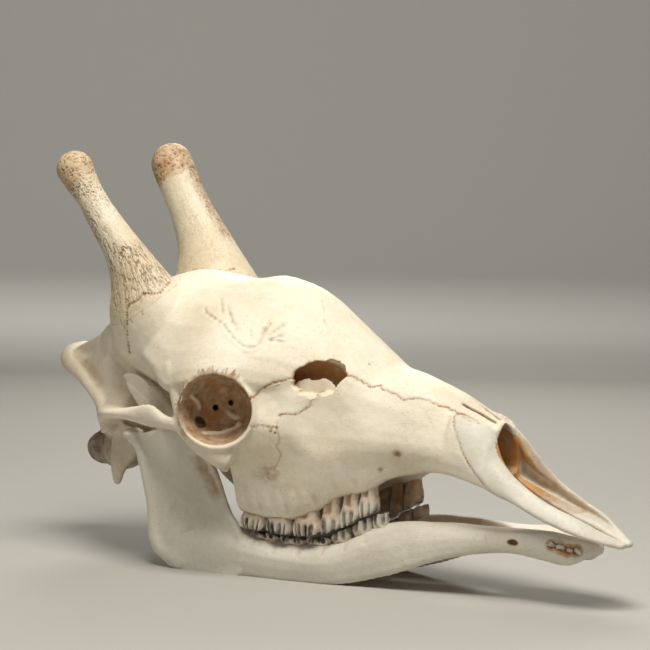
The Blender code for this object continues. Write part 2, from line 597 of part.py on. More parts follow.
CHEEK_DEPTH = 0.062
TEAR_CORNER = (-0.060, 0.1425)

CHEEK_REGION = ARCH_LINE + CHEEK_LINE + [(0.016, 0.192)] + BROW_LINE[4::-1]
FRONT_REGION = BRAIN_LINE + [(BEYOND, 0.300), (BEYOND, 0.030)]
BROW_REGION = [(-BEYOND, 0.1600)] + BROW_LINE + [(0.060, BEYOND), (-BEYOND, BEYOND)]
NASAL_REGION = NASAL_LINE + [(BEYOND, 0.080), (BEYOND, BEYOND), (0.030, BEYOND)]
PREMAXILLA_REGION = PREMAXILLA_LINE + [(BEYOND, 0.030), (BEYOND, 0.185)]
TEAR_REGION = [TEAR_CORNER, (BEYOND, 0.1450), (BEYOND, BEYOND), (-0.060, BEYOND)]
EVERYWHERE = [(-BEYOND, -BEYOND), (BEYOND, -BEYOND), (BEYOND, BEYOND), (-BEYOND, BEYOND)]

# Bowl-shaped suture under a horn: lowest point, lean of its axis, radii of its profile
HORN_SEAT = (-0.184, 0.062, 0.236)
HORN_LEAN = (-0.30, 0.30, 0.90)
CUP_RADII = (0.004, 0.020, 0.036, 0.050, 0.064, 0.078)
CUP_RISE = 0.034
CUP_TOP = 0.200


def grown(outline, distance):
    """The outline with every side moved outwards."""
    points = [np.array(point) for point in outline]
    count = len(points)
    area = sum(a[0] * b[1] - b[0] * a[1] for a, b in zip(points, points[1:] + points[:1]))
    outwards = 1 if area > 0 else -1
    result = []
    for i, point in enumerate(points):
        before, after = points[i - 1], points[(i + 1) % count]
        first = (point - before) / np.linalg.norm(point - before)
        second = (after - point) / np.linalg.norm(after - point)
        normal_a = np.array([first[1], -first[0]]) * outwards
        normal_b = np.array([second[1], -second[0]]) * outwards
        corner = (normal_a + normal_b) / (1 + normal_a.dot(normal_b))
        result.append(point + corner * distance)
    return result


def prism(name, outline, y_low, y_high, collection):
    """Solid with a side-view outline, between two distances along y."""
    shape = bmesh.new()
    face = shape.faces.new([shape.verts.new((x, y_low, z)) for x, z in outline])
    swept = bmesh.ops.extrude_face_region(shape, geom=[face])
    moved = [item for item in swept["geom"] if isinstance(item, bmesh.types.BMVert)]
    bmesh.ops.translate(shape, verts=moved, vec=(0, y_high - y_low, 0))
    bmesh.ops.triangulate(shape, faces=shape.faces)
    bmesh.ops.recalc_face_normals(shape, faces=shape.faces)
    mesh = bpy.data.meshes.new(name)
    shape.to_mesh(mesh)
    shape.free()
    return link(name, mesh, collection)


def horn_cup(name, side, offset, collection):
    """Solid bowl over a horn's seat, open space for the horn above it."""
    sided = Vector((1, side, 1))
    centre = Vector(HORN_SEAT) * sided
    axis = (Vector(HORN_LEAN) * sided).normalized()
    across = axis.orthogonal().normalized()
    along = axis.cross(across)
    profile = [
        (radius + offset * 0.7, CUP_RISE * (radius / CUP_RADII[-2]) ** 2 - offset) for radius in CUP_RADII
    ]
    profile.append((CUP_RADII[-1] + offset, CUP_TOP))
    rings = [
        [centre + axis * lift + (across * math.cos(turn) + along * math.sin(turn)) * radius
         for turn in (math.tau * k / 24 for k in range(24))]
        for radius, lift in profile
    ]
    return mesh_from_rings(name, rings, collection)


def boolean(item, other, operation, solver="EXACT"):
    step = item.modifiers.new("cut", "BOOLEAN")
    step.operation = operation
    step.solver = solver
    step.object = other
    apply_modifiers(item)


def split(item, name, collection, inner, outer):
    """Parts the item into what lies inside and outside a solid, a suture's gap apart."""
    inside = link(name, item.data.copy(), collection)
    boolean(inside, inner, "INTERSECT")
    boolean(item, outer, "DIFFERENCE")
    remove([inner, outer])
    keep_largest(inside)
    keep_largest(item)
    return inside


def split_region(item, name, collection, cutters, outline, y_low=-BEYOND, y_high=BEYOND):
    half = SUTURE_GAP / 2
    inner = prism("inner", grown(outline, -half), y_low + half, y_high - half, cutters)
    outer = prism("outer", grown(outline, half), y_low - half, y_high + half, cutters)
    return split(item, name, collection, inner, outer)


def split_sides(item, name, collection, cutters):
    left = split_region(item, name + "_left", collection, cutters, EVERYWHERE, y_low=0)
    item.name = name + "_right"
    return {left.name: left, item.name: item}


def part_bones(cranium, parts, cutters):
    """Parts the skull at its sutures and names the bones."""
    bones = {}
    for name, side in (("ossicone_right", -1), ("ossicone_left", 1)):
        half = SUTURE_GAP / 2
        cups = [horn_cup("cup", side, offset, cutters) for offset in (-half, half)]
        bones[name] = split(cranium, name, parts, *cups)
    for name, side in (("right", -1), ("left", 1)):
        reach = sorted((side * CHEEK_DEPTH, side * 0.2))
        cheek = split_region(cranium, "zygomatic_" + name, parts, cutters, CHEEK_REGION, *reach)
        tear = split_region(cheek, "lacrimal_" + name, parts, cutters, TEAR_REGION)
        bones[cheek.name] = cheek
        bones[tear.name] = tear
    front = split_region(cranium, "front", parts, cutters, FRONT_REGION)
    cranium.name = "braincase"
    bones["braincase"] = cranium
    bones["frontal"] = split_region(front, "frontal", parts, cutters, BROW_REGION)
    nasal = split_region(front, "nasal", parts, cutters, NASAL_REGION)
    premaxilla = split_region(front, "premaxilla", parts, cutters, PREMAXILLA_REGION)
    bones.update(split_sides(nasal, "nasal", parts, cutters))
    bones.update(split_sides(premaxilla, "premaxilla", parts, cutters))
    bones.update(split_sides(front, "maxilla", parts, cutters))
    return bones


def build_jaw(parts):
    """Right half of the lower jaw."""
    body = railed_loft("jaw body", JAW_RAILS, parts, stations=48, mirrored=False, ends=(0.004, 0.004))
    centre = np.array(RAMUS_CENTRE)
    outline = [(x, centre[1], z) for x, z in RAMUS_OUTLINE]
    outline = spline_points(outline, 3, closed=True)
    rings = []
    for offset in (-0.5, -0.3, 0.3, 0.5):
        inset = 0.0015 if abs(offset) > 0.4 else 0
        ring = []
        for point in outline:
            inward = (centre - point) / np.linalg.norm(centre - point) * inset
            lean = -max(point[0] + 0.150, 0) * RAMUS_FLARE
            lean -= max(point[2] - 0.120, 0) * RAMUS_TUCK
            ring.append(point + inward + np.array([0, offset * RAMUS_THICKNESS - lean, 0]))
        rings.append(ring)
    ramus = mesh_from_rings("ramus", rings, parts)
    condyle = ellipsoid("jaw condyle", *JAW_CONDYLE, parts, turn=0.15)
    rear = bar("ramus rear", RAMUS_REAR_PATH, parts)
    return fuse("mandible_right", [body, ramus, condyle, rear], parts, JAW_VOXEL)


def tooth(name, spec, gum, bite, upper, side, collection):
    """One cheek tooth: a waisted block with a worn, cusped top and its root in the jaw."""
    x, outer, length, width, lobes = spec
    y = outer - width / 2
    gum_z = curve_value(gum, x, 1)
    bite_z = curve_value(bite, x, 1)
    away = 1 if upper else -1
    top = bite_z + away * BITE_GAP
    rise = gum_z - top
    levels = [(gum_z + away * ROOT_DEPTH, 0.72), (gum_z, 0.86), (gum_z - rise * 0.55, 1.0), (top, 0.92)]
    rings = []
    count = 10
    for level, (z, size) in enumerate(levels):
        ring = []
        for k in range(count):
            turn = math.tau * k / count
            along = math.copysign(abs(math.cos(turn)) ** 0.55, math.cos(turn))
            across = math.copysign(abs(math.sin(turn)) ** 0.7, math.sin(turn))
            waist = 1 - 0.12 * (math.cos(along * math.pi * lobes) < 0) if lobes == 2 else 1
            place = x + along * length / 2 * size
            if level == 3:
                cusp = 0.5 - 0.5 * math.cos(along * math.pi * lobes)
                z = curve_value(bite, place, 1) + away * (BITE_GAP + CUSP_HEIGHT * cusp)
            ring.append((place, side * (y + across * width / 2 * size * waist), z))
        rings.append(ring)
    return mesh_from_rings(name, rings, collection)


def unite(item, additions):
    """Joins closed forms to the item."""
    for addition in additions:
        boolean(item, addition, "UNION")
    remove(additions)


def block(name, low, high, collection):
    shape = bmesh.new()
    bmesh.ops.create_cube(shape, size=1.0)
    size = Vector(high) - Vector(low)
    place = Matrix.Translation((Vector(high) + Vector(low)) / 2) @ Matrix.Diagonal((*size, 1))
    bmesh.ops.transform(shape, matrix=place, verts=shape.verts)
    mesh = bpy.data.meshes.new(name)
    shape.to_mesh(mesh)
    shape.free()
    return link(name, mesh, collection)


def finish(name, colour, item):
    material = bpy.data.materials.new(name + " bone")
    material.use_nodes = True
    shader = material.node_tree.nodes["Principled BSDF"]
    shader.inputs["Base Color"].default_value = (*colour, 1)
    shader.inputs["Roughness"].default_value = ROUGHNESS
    shader.inputs["Metallic"].default_value = 0
    item.data.materials.clear()
    item.data.materials.append(material)


def add_teeth(bone, teeth, gum, upper, cutters):
    unite(bone, [tooth("tooth", spec, gum, BITE_LINE, upper, -1, cutters) for spec in teeth])
    keep_largest(bone)


def main():
    clear_scene()
    parts = bpy.data.collections.new("giraffe_skull")
    cutters = bpy.data.collections.new("cutters")
    bpy.context.scene.collection.children.link(parts)
    bpy.context.scene.collection.children.link(cutters)

    cranium = build_cranium(parts, cutters)
    thin_out(cranium, CRANIUM_TRIANGLES)
    bones = part_bones(cranium, parts, cutters)

    jaw = build_jaw(parts)
    thin_out(jaw, JAW_TRIANGLES)
    floor = block("floor", (-BEYOND, -BEYOND, -BEYOND), (BEYOND, BEYOND, 0), cutters)
    beside = block("beside", (-BEYOND, -SUTURE_GAP / 2, -BEYOND), (BEYOND, BEYOND, BEYOND), cutters)
    carve(jaw, [floor, beside])
    remove([floor, beside])
    keep_largest(jaw)
    bones["mandible_right"] = jaw
    add_teeth(bones["maxilla_right"], UPPER_TEETH, UPPER_GUM, True, cutters)
    add_teeth(bones["mandible_right"], LOWER_TEETH, LOWER_GUM, False, cutters)
    remove([bones.pop("maxilla_left")])
    for name in ("maxilla", "mandible"):
        bones[name + "_left"] = mirrored_copy(bones[name + "_right"], name + "_left", parts)
    for name, bone in bones.items():
        bone.name = name
        finish(name, COLOURS.get(name.split("_")[0], IVORY), bone)
        bone.data.transform(Matrix.Translation((CENTRE_SHIFT_X, 0, 0)))


main()
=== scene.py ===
# Giraffe skull, life size: the fine surface of every bone and tooth, their finishes, and a plain studio.
# Metres in the frame's axes: snout towards +X, the animal's left side towards +Y, +Z up, floor at z = 0.

import math

import bmesh
import bpy
import numpy as np
from mathutils import Matrix, Vector
from mathutils.kdtree import KDTree


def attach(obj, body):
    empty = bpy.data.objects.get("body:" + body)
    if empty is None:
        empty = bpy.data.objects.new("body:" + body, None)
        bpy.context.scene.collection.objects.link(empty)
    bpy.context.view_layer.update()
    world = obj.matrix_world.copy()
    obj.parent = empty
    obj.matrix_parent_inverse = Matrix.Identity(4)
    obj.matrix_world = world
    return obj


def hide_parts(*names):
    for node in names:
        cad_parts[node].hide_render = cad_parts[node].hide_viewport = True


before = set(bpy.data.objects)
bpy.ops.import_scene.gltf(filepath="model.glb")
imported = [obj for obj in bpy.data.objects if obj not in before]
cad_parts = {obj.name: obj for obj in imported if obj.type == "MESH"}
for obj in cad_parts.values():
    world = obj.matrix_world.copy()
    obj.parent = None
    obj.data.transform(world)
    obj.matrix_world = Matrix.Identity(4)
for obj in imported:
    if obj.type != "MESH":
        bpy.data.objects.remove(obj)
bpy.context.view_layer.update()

# The forms below are drawn about the skull's own middle; this puts it over the frame's
CENTRE_SHIFT_X = 0.00375
# Gap left between two bones at a suture
SUTURE_GAP = 0.00002
# Further out than any point of the skull
BEYOND = 0.4
# Size of the squares that the bones' skin is made of
SKULL_VOXEL = 0.00135
JAW_VOXEL = 0.0012
# Distance in millimetres kept where no suture is near
FAR_SEAM = 12.0

# The dome of the forehead, from the back of the skull to the nasal bones.
# Each rail is a line of (x, y, z) points along one side; y is the half breadth.
BROW_RAILS = [
    [(-0.25, 0, 0.224), (-0.215, 0, 0.25), (-0.18, 0, 0.278), (-0.15, 0, 0.283), (-0.12, 0, 0.279),
     (-0.09, 0, 0.277), (-0.06, 0, 0.281), (-0.031, 0, 0.275), (-0.007, 0, 0.263), (0.02, 0, 0.243),
     (0.05, 0, 0.219), (0.07, 0, 0.206)],
    [(-0.25, 0.03, 0.216), (-0.215, 0.052, 0.236), (-0.18, 0.066, 0.256), (-0.145, 0.066, 0.256),
     (-0.105, 0.066, 0.253), (-0.06, 0.064, 0.25), (-0.02, 0.056, 0.24), (0.02, 0.044, 0.222),
     (0.07, 0.032, 0.194)],
    [(-0.25, 0.046, 0.207), (-0.207, 0.07, 0.209), (-0.151, 0.092, 0.2), (-0.12, 0.106, 0.19),
     (-0.09, 0.113, 0.196), (-0.06, 0.109, 0.2), (-0.03, 0.095, 0.198), (0, 0.078, 0.192),
     (0.028, 0.064, 0.188), (0.07, 0.046, 0.174)],
    [(-0.25, 0.036, 0.185), (-0.207, 0.058, 0.182), (-0.151, 0.078, 0.176), (-0.12, 0.092, 0.168),
     (-0.09, 0.1, 0.172), (-0.06, 0.098, 0.18), (-0.03, 0.082, 0.172), (0, 0.064, 0.165),
     (0.07, 0.036, 0.155)],
    [(-0.25, 0, 0.17), (-0.207, 0, 0.165), (-0.12, 0, 0.155), (-0.03, 0, 0.16), (0.07, 0, 0.15)],
]

# The case of the brain, with the temple walls and the skull base
BRAINCASE_RAILS = [
    [(-0.272, 0, 0.216), (-0.25, 0, 0.232), (-0.23, 0, 0.243), (-0.2, 0, 0.258), (-0.15, 0, 0.27),
     (-0.06, 0, 0.25)],
    [(-0.272, 0.026, 0.21), (-0.25, 0.04, 0.221), (-0.23, 0.047, 0.228), (-0.2, 0.052, 0.232),
     (-0.15, 0.056, 0.24), (-0.06, 0.05, 0.225)],
    [(-0.272, 0.03, 0.16), (-0.25, 0.05, 0.156), (-0.23, 0.057, 0.158), (-0.2, 0.057, 0.168),
     (-0.15, 0.052, 0.172), (-0.1, 0.05, 0.165), (-0.06, 0.046, 0.16)],
    [(-0.272, 0.022, 0.122), (-0.25, 0.042, 0.117), (-0.23, 0.052, 0.116), (-0.2, 0.046, 0.118),
     (-0.15, 0.034, 0.118), (-0.06, 0.028, 0.112)],
    [(-0.272, 0, 0.11), (-0.25, 0, 0.101), (-0.23, 0, 0.101), (-0.2, 0, 0.104), (-0.15, 0, 0.11),
     (-0.06, 0, 0.106)],
]

# The upper jaw and the nose, from behind the last molar to the nasal tips
FACE_RAILS = [
    [(-0.062, 0, 0.245), (-0.03, 0, 0.262), (0, 0, 0.256), (0.028, 0, 0.236), (0.05, 0, 0.219),
     (0.075, 0, 0.204), (0.1, 0, 0.197), (0.14, 0, 0.183), (0.165, 0, 0.171), (0.19, 0, 0.158)],
    [(-0.062, 0.05, 0.228), (-0.03, 0.054, 0.24), (0, 0.051, 0.229), (0.028, 0.043, 0.216),
     (0.05, 0.038, 0.203), (0.075, 0.032, 0.191), (0.1, 0.027, 0.187), (0.14, 0.021, 0.175),
     (0.19, 0.012, 0.153)],
    [(-0.062, 0.083, 0.177), (-0.03, 0.086, 0.188), (0, 0.075, 0.19), (0.028, 0.063, 0.189),
     (0.05, 0.054, 0.183), (0.075, 0.045, 0.173), (0.1, 0.039, 0.168), (0.14, 0.033, 0.16),
     (0.19, 0.03, 0.14)],
    [(-0.062, 0.092, 0.13), (-0.03, 0.097, 0.142), (0, 0.087, 0.142), (0.03, 0.073, 0.14),
     (0.06, 0.062, 0.138), (0.1, 0.05, 0.136), (0.14, 0.043, 0.134), (0.19, 0.041, 0.118)],
    [(-0.062, 0.079, 0.093), (-0.03, 0.081, 0.099), (0, 0.077, 0.097), (0.03, 0.068, 0.101),
     (0.06, 0.056, 0.109), (0.1, 0.045, 0.117), (0.14, 0.041, 0.119), (0.19, 0.041, 0.106)],
    [(-0.062, 0.068, 0.062), (-0.038, 0.07, 0.06), (-0.004, 0.067, 0.06), (0.018, 0.061, 0.068),
     (0.042, 0.053, 0.083), (0.066, 0.046, 0.089), (0.086, 0.042, 0.101), (0.109, 0.038, 0.108),
     (0.135, 0.038, 0.112), (0.157, 0.039, 0.11), (0.19, 0.039, 0.102)],
    [(-0.062, 0.046, 0.064), (-0.038, 0.045, 0.062), (-0.004, 0.043, 0.062), (0.018, 0.039, 0.07),
     (0.042, 0.032, 0.085), (0.066, 0.027, 0.091), (0.086, 0.026, 0.102), (0.109, 0.026, 0.107),
     (0.135, 0.027, 0.111), (0.157, 0.028, 0.11), (0.19, 0.029, 0.103)],
    [(-0.062, 0, 0.096), (-0.004, 0, 0.094), (0.042, 0, 0.101), (0.086, 0, 0.11), (0.135, 0, 0.116),
     (0.19, 0, 0.11)],
]

# One premaxilla: rails run round its section, from the outer edge of the nose opening
PREMAXILLA_RAILS = [
    [(0.15, 0.031, 0.165), (0.175, 0.028, 0.159), (0.188, 0.023, 0.15), (0.197, 0.024, 0.131),
     (0.209, 0.027, 0.117), (0.224, 0.029, 0.107), (0.247, 0.03, 0.094), (0.277, 0.025, 0.082),
     (0.303, 0.014, 0.068), (0.314, 0.008, 0.062)],
    [(0.15, 0.038, 0.152), (0.175, 0.038, 0.142), (0.197, 0.036, 0.12), (0.224, 0.036, 0.1),
     (0.247, 0.036, 0.088), (0.277, 0.032, 0.077), (0.303, 0.02, 0.065), (0.314, 0.011, 0.06)],
    [(0.15, 0.042, 0.128), (0.172, 0.042, 0.118), (0.194, 0.04, 0.101), (0.22, 0.039, 0.091),
     (0.252, 0.037, 0.077), (0.283, 0.033, 0.067), (0.303, 0.021, 0.06), (0.314, 0.011, 0.056)],
    [(0.15, 0.034, 0.12), (0.194, 0.02, 0.1), (0.22, 0.014, 0.089), (0.252, 0.011, 0.077),
     (0.283, 0.007, 0.067), (0.314, 0.001, 0.056)],
    [(0.15, 0.034, 0.13), (0.194, 0.02, 0.105), (0.22, 0.014, 0.094), (0.252, 0.011, 0.082),
     (0.283, 0.007, 0.073), (0.314, 0.001, 0.061)],
    [(0.15, 0.033, 0.14), (0.194, 0.032, 0.108), (0.22, 0.03, 0.096), (0.252, 0.027, 0.083),
     (0.283, 0.021, 0.073), (0.314, 0.005, 0.062)],
    [(0.15, 0.028, 0.163), (0.175, 0.023, 0.157), (0.188, 0.018, 0.149), (0.197, 0.019, 0.13),
     (0.209, 0.022, 0.116), (0.224, 0.024, 0.106), (0.247, 0.025, 0.093), (0.277, 0.02, 0.081),
     (0.303, 0.01, 0.069), (0.314, 0.004, 0.063)],
]

# Eye socket: centre of its rim, half sizes, and how far its face turns to the front
ORBIT_CENTRE = (-0.059, -0.108, 0.159)
ORBIT_HALF_LENGTH = 0.0375
ORBIT_HALF_HEIGHT = 0.035
ORBIT_TURN = math.radians(17)
ORBIT_RIM = 0.003
# Rings of the bone behind the rim: (depth, growth, shift to the front)
SOCKET_RINGS = [(0, 1.0, 0), (-0.01, 1.05, 0.002), (-0.025, 1.12, 0.008), (-0.045, 1.15, 0.016)]

# Zygomatic arch: (x, y, z, half thickness, half height)
ARCH_PATH = [
    (-0.05, -0.094, 0.112, 0.01, 0.014), (-0.078, -0.104, 0.127, 0.008, 0.012),
    (-0.1, -0.11, 0.142, 0.006, 0.007), (-0.121, -0.106, 0.1435, 0.005, 0.0068),
    (-0.146, -0.098, 0.147, 0.005, 0.011), (-0.17, -0.09, 0.146, 0.006, 0.008),
    (-0.192, -0.082, 0.1445, 0.011, 0.0055), (-0.215, -0.068, 0.142, 0.016, 0.008),
    (-0.232, -0.052, 0.136, 0.014, 0.014),
]

# Ridge at the back of the skull: (x, y, z, half thickness, half height)
NUCHAL_PATH = [
    (-0.226, -0.062, 0.122, 0.008, 0.009), (-0.2315, -0.063, 0.14, 0.006, 0.007),
    (-0.245, -0.058, 0.156, 0.006, 0.007), (-0.271, -0.048, 0.173, 0.007, 0.008),
    (-0.301, -0.034, 0.1845, 0.009, 0.0095), (-0.3122, -0.016, 0.189, 0.0113, 0.012),
    (-0.313, 0.0, 0.19, 0.0113, 0.013),
]

# Bar of bone behind the eye socket, from the brow down to the arch
REAR_BAR_PATH = [
    (-0.122, -0.094, 0.196, 0.01, 0.01), (-0.1105, -0.1005, 0.18, 0.0095, 0.01),
    (-0.103, -0.1045, 0.164, 0.009, 0.01), (-0.0975, -0.107, 0.148, 0.008, 0.009),
    (-0.093, -0.108, 0.136, 0.007, 0.008),
]

# Bony spur beside the neck joint
SPUR_PATH = [
    (-0.206, -0.05, 0.128, 0.012, 0.022), (-0.211, -0.056, 0.107, 0.006, 0.018),
    (-0.216, -0.059, 0.089, 0.005, 0.01), (-0.217, -0.06, 0.073, 0.003, 0.0045),
]

# Thin wing of bone beside the opening of the throat
WING_PATH = [
    (-0.122, -0.03, 0.118, 0.004, 0.012), (-0.1, -0.027, 0.104, 0.004, 0.022),
    (-0.078, -0.026, 0.096, 0.004, 0.026), (-0.05, -0.028, 0.09, 0.006, 0.02),
]

# Rounded bosses and hollows: (centre, half sizes)
CONDYLE = ((-0.259, -0.026, 0.101), (0.02, 0.017, 0.017))
CONDYLE_TURN = 0.4
BULLA = ((-0.205, -0.036, 0.104), (0.016, 0.01, 0.013))
TORUS = ((-0.288, 0, 0.188), (0.028, 0.036, 0.016))
THROAT_HOLLOW = ((-0.075, 0, 0.09), (0.07, 0.02, 0.022))
NECK_HOLE = ((-0.29, 0, 0.122), (0.036, 0.016, 0.014))

# Horns: (x, y, z, radius across, radius along), base to tip
OSSICONE_RIGHT_PATH = [
    (-0.166, -0.038, 0.18, 0.024, 0.034), (-0.171, -0.05, 0.212, 0.036, 0.046),
    (-0.18, -0.061, 0.248, 0.034, 0.042),
    (-0.19, -0.066, 0.276, 0.024, 0.029), (-0.205, -0.069, 0.302, 0.018, 0.02),
    (-0.226, -0.071, 0.329, 0.0155, 0.016), (-0.243, -0.073, 0.353, 0.0145, 0.0145),
    (-0.254, -0.074, 0.368, 0.0165, 0.0165), (-0.261, -0.075, 0.379, 0.0185, 0.0185),
]
OSSICONE_LEFT_PATH = [
    (-0.166, 0.036, 0.18, 0.026, 0.036), (-0.172, 0.046, 0.212, 0.04, 0.05),
    (-0.185, 0.056, 0.248, 0.042, 0.05),
    (-0.198, 0.062, 0.278, 0.033, 0.039), (-0.211, 0.068, 0.304, 0.026, 0.029),
    (-0.228, 0.072, 0.33, 0.0215, 0.0235), (-0.244, 0.075, 0.354, 0.0205, 0.0215),
    (-0.255, 0.077, 0.372, 0.021, 0.0215), (-0.262, 0.078, 0.384, 0.0215, 0.0215),
]

# Lower jaw body: rails round one half's section, outer side first
JAW_RAILS = [
    [(-0.13, 0.078, 0.055), (-0.08, 0.073, 0.048), (-0.04, 0.061, 0.034), (0, 0.057, 0.032),
     (0.04, 0.05, 0.037), (0.085, 0.038, 0.057), (0.14, 0.027, 0.063), (0.2, 0.021, 0.064),
     (0.245, 0.023, 0.067), (0.268, 0.021, 0.064), (0.286, 0.008, 0.06)],
    [(-0.13, 0.083, 0.03), (-0.08, 0.08, 0.028), (-0.04, 0.073, 0.022), (0, 0.068, 0.019),
     (0.04, 0.06, 0.021), (0.085, 0.047, 0.037), (0.14, 0.037, 0.05), (0.2, 0.028, 0.055),
     (0.245, 0.028, 0.055), (0.268, 0.025, 0.053), (0.286, 0.01, 0.053)],
    [(-0.13, 0.077, -0.004), (-0.098, 0.074, -0.004), (-0.047, 0.066, -0.004), (0.005, 0.06, -0.0035),
     (0.038, 0.055, -0.001), (0.06, 0.05, 0.003), (0.085, 0.046, 0.01), (0.11, 0.042, 0.018),
     (0.135, 0.037, 0.028), (0.158, 0.032, 0.035), (0.182, 0.027, 0.04), (0.21, 0.022, 0.043),
     (0.242, 0.021, 0.04), (0.268, 0.019, 0.038), (0.286, 0.008, 0.047)],
    [(-0.13, 0.072, 0.028), (-0.08, 0.062, 0.026), (-0.04, 0.048, 0.018), (0, 0.043, 0.016),
     (0.04, 0.036, 0.018), (0.085, 0.026, 0.034), (0.14, 0.017, 0.047), (0.185, 0.008, 0.052),
     (0.21, -0.006, 0.053), (0.286, -0.006, 0.05)],
    [(-0.13, 0.072, 0.055), (-0.08, 0.062, 0.048), (-0.04, 0.042, 0.034), (0, 0.04, 0.032),
     (0.04, 0.034, 0.037), (0.085, 0.027, 0.057), (0.14, 0.018, 0.063), (0.185, 0.008, 0.063),
     (0.21, -0.006, 0.062), (0.286, -0.006, 0.058)],
]

# Side outline of the ramus, (x, z), up the front edge and down the back
RAMUS_OUTLINE = [
    (-0.052, 0.02), (-0.06, 0.046), (-0.069, 0.06), (-0.0755, 0.078), (-0.087, 0.1), (-0.1035, 0.124),
    (-0.126, 0.146), (-0.15, 0.166), (-0.172, 0.179), (-0.19, 0.184), (-0.197, 0.179),
    (-0.18, 0.168), (-0.16, 0.154), (-0.149, 0.142), (-0.152, 0.132), (-0.17, 0.127), (-0.184, 0.121),
    (-0.174, 0.112), (-0.166, 0.092), (-0.16, 0.063), (-0.158, 0.036), (-0.156, 0.016),
    (-0.145, 0.005), (-0.125, -0.002), (-0.098, -0.003), (-0.06, -0.003),
]
RAMUS_THICKNESS = 0.009
RAMUS_CENTRE = (-0.125, -0.0775, 0.08)
# How much the ramus leans inwards towards the front and towards the top
RAMUS_FLARE = 0.09
RAMUS_TUCK = 0.07
# Head of the jaw joint: (centre, half sizes)
JAW_CONDYLE = ((-0.183, -0.077, 0.1255), (0.009, 0.014, 0.0055))
# Thick rear border of the ramus, down to the angle of the jaw
RAMUS_REAR_PATH = [
    (-0.184, -0.079, 0.122, 0.005, 0.006), (-0.17, -0.08, 0.11, 0.006, 0.006),
    (-0.158, -0.079, 0.06, 0.006, 0.006), (-0.152, -0.078, 0.02, 0.007, 0.008),
    (-0.125, -0.077, 0.008, 0.007, 0.009),
]

# Cheek teeth, back to front: (centre x, outer y, length, width, lobes)
UPPER_TEETH = [
    (-0.047, 0.071, 0.028, 0.026, 2), (-0.018, 0.07, 0.028, 0.027, 2), (0.01, 0.066, 0.027, 0.026, 2),
    (0.0325, 0.058, 0.02, 0.024, 1), (0.0505, 0.052, 0.019, 0.022, 1), (0.067, 0.047, 0.017, 0.019, 1),
]
LOWER_TEETH = [
    (-0.04, 0.061, 0.032, 0.018, 2), (-0.009, 0.058, 0.027, 0.018, 2), (0.017, 0.054, 0.026, 0.017, 2),
    (0.04, 0.049, 0.02, 0.015, 1), (0.06, 0.044, 0.019, 0.014, 1), (0.078, 0.04, 0.015, 0.012, 1),
]
# Heights along the tooth rows: (x, z)
UPPER_GUM = [(-0.062, 0.061), (-0.004, 0.061), (0.018, 0.069), (0.042, 0.085), (0.08, 0.091)]
BITE_LINE = [(-0.062, 0.044), (-0.03, 0.042), (0, 0.041), (0.022, 0.043), (0.045, 0.052), (0.066, 0.064),
             (0.09, 0.073)]
LOWER_GUM = [(-0.062, 0.04), (-0.04, 0.034), (0, 0.032), (0.04, 0.037), (0.06, 0.045), (0.09, 0.058)]
BITE_GAP = 0.0006
CUSP_HEIGHT = 0.0022
ROOT_DEPTH = 0.012

# Sutures, drawn in side view as (x, z) lines and pushed through the skull along y
CHEEK_LINE = [(-0.083, 0.078), (-0.055, 0.094), (-0.03, 0.112), (-0.014, 0.132), (-0.008, 0.15),
              (0.008, 0.17), (0.016, 0.1905)]
BROW_LINE = [(-0.0828, 0.16), (-0.06, 0.165), (-0.03, 0.172), (-0.017, 0.181),
             (0.000, 0.187), (0.02, 0.19), (0.046, 0.196), (0.054, 0.212), (0.058, 0.24)]
BRAIN_LINE = [(-0.076, 0.03), (-0.079, 0.12), (-0.083, 0.161), (-0.124, 0.1615), (-0.132, 0.18),
              (-0.142, 0.215), (-0.146, 0.3)]
NASAL_LINE = [(0.03, 0.199), (0.0455, 0.1965), (0.069, 0.184), (0.086, 0.185), (0.101, 0.176),
              (0.117, 0.177), (0.133, 0.173), (0.151, 0.168), (0.172, 0.16), (0.2, 0.148)]
PREMAXILLA_LINE = [(0.148, 0.185), (0.151, 0.168), (0.155, 0.155), (0.16, 0.144), (0.172, 0.13),
                   (0.178, 0.119), (0.188, 0.108), (0.197, 0.1), (0.206, 0.088), (0.215, 0.03)]
ARCH_LINE = [(-0.172, 0.16), (-0.136, 0.12)]
CHEEK_DEPTH = 0.0572
TEAR_CORNER = (-0.06, 0.1425)

CHEEK_REGION = ARCH_LINE + CHEEK_LINE + [(0.016, 0.192)] + BROW_LINE[4::-1]
FRONT_REGION = BRAIN_LINE + [(BEYOND, 0.3), (BEYOND, 0.03)]
BROW_REGION = [(-BEYOND, 0.16)] + BROW_LINE + [(0.06, BEYOND), (-BEYOND, BEYOND)]
NASAL_REGION = NASAL_LINE + [(BEYOND, 0.08), (BEYOND, BEYOND), (0.03, BEYOND)]
PREMAXILLA_REGION = PREMAXILLA_LINE + [(BEYOND, 0.03), (BEYOND, 0.185)]
TEAR_REGION = [TEAR_CORNER, (BEYOND, 0.145), (BEYOND, BEYOND), (-0.06, BEYOND)]
EVERYWHERE = [(-BEYOND, -BEYOND), (BEYOND, -BEYOND), (BEYOND, BEYOND), (-BEYOND, BEYOND)]

# Bowl-shaped suture under a horn: lowest point, lean of its axis, radii of its profile
HORN_SEAT = (-0.184, 0.062, 0.236)
HORN_LEAN = (-0.3, 0.3, 0.9)
CUP_RADII = (0.004, 0.02, 0.036, 0.05, 0.064, 0.078)
CUP_RISE = 0.034
CUP_TOP = 0.2


# Making forms

def eased(t):
    """Smooth step from 0 to 1 for a value, or for each of many, between 0 and 1."""
    return t * t * (3 - 2 * t)


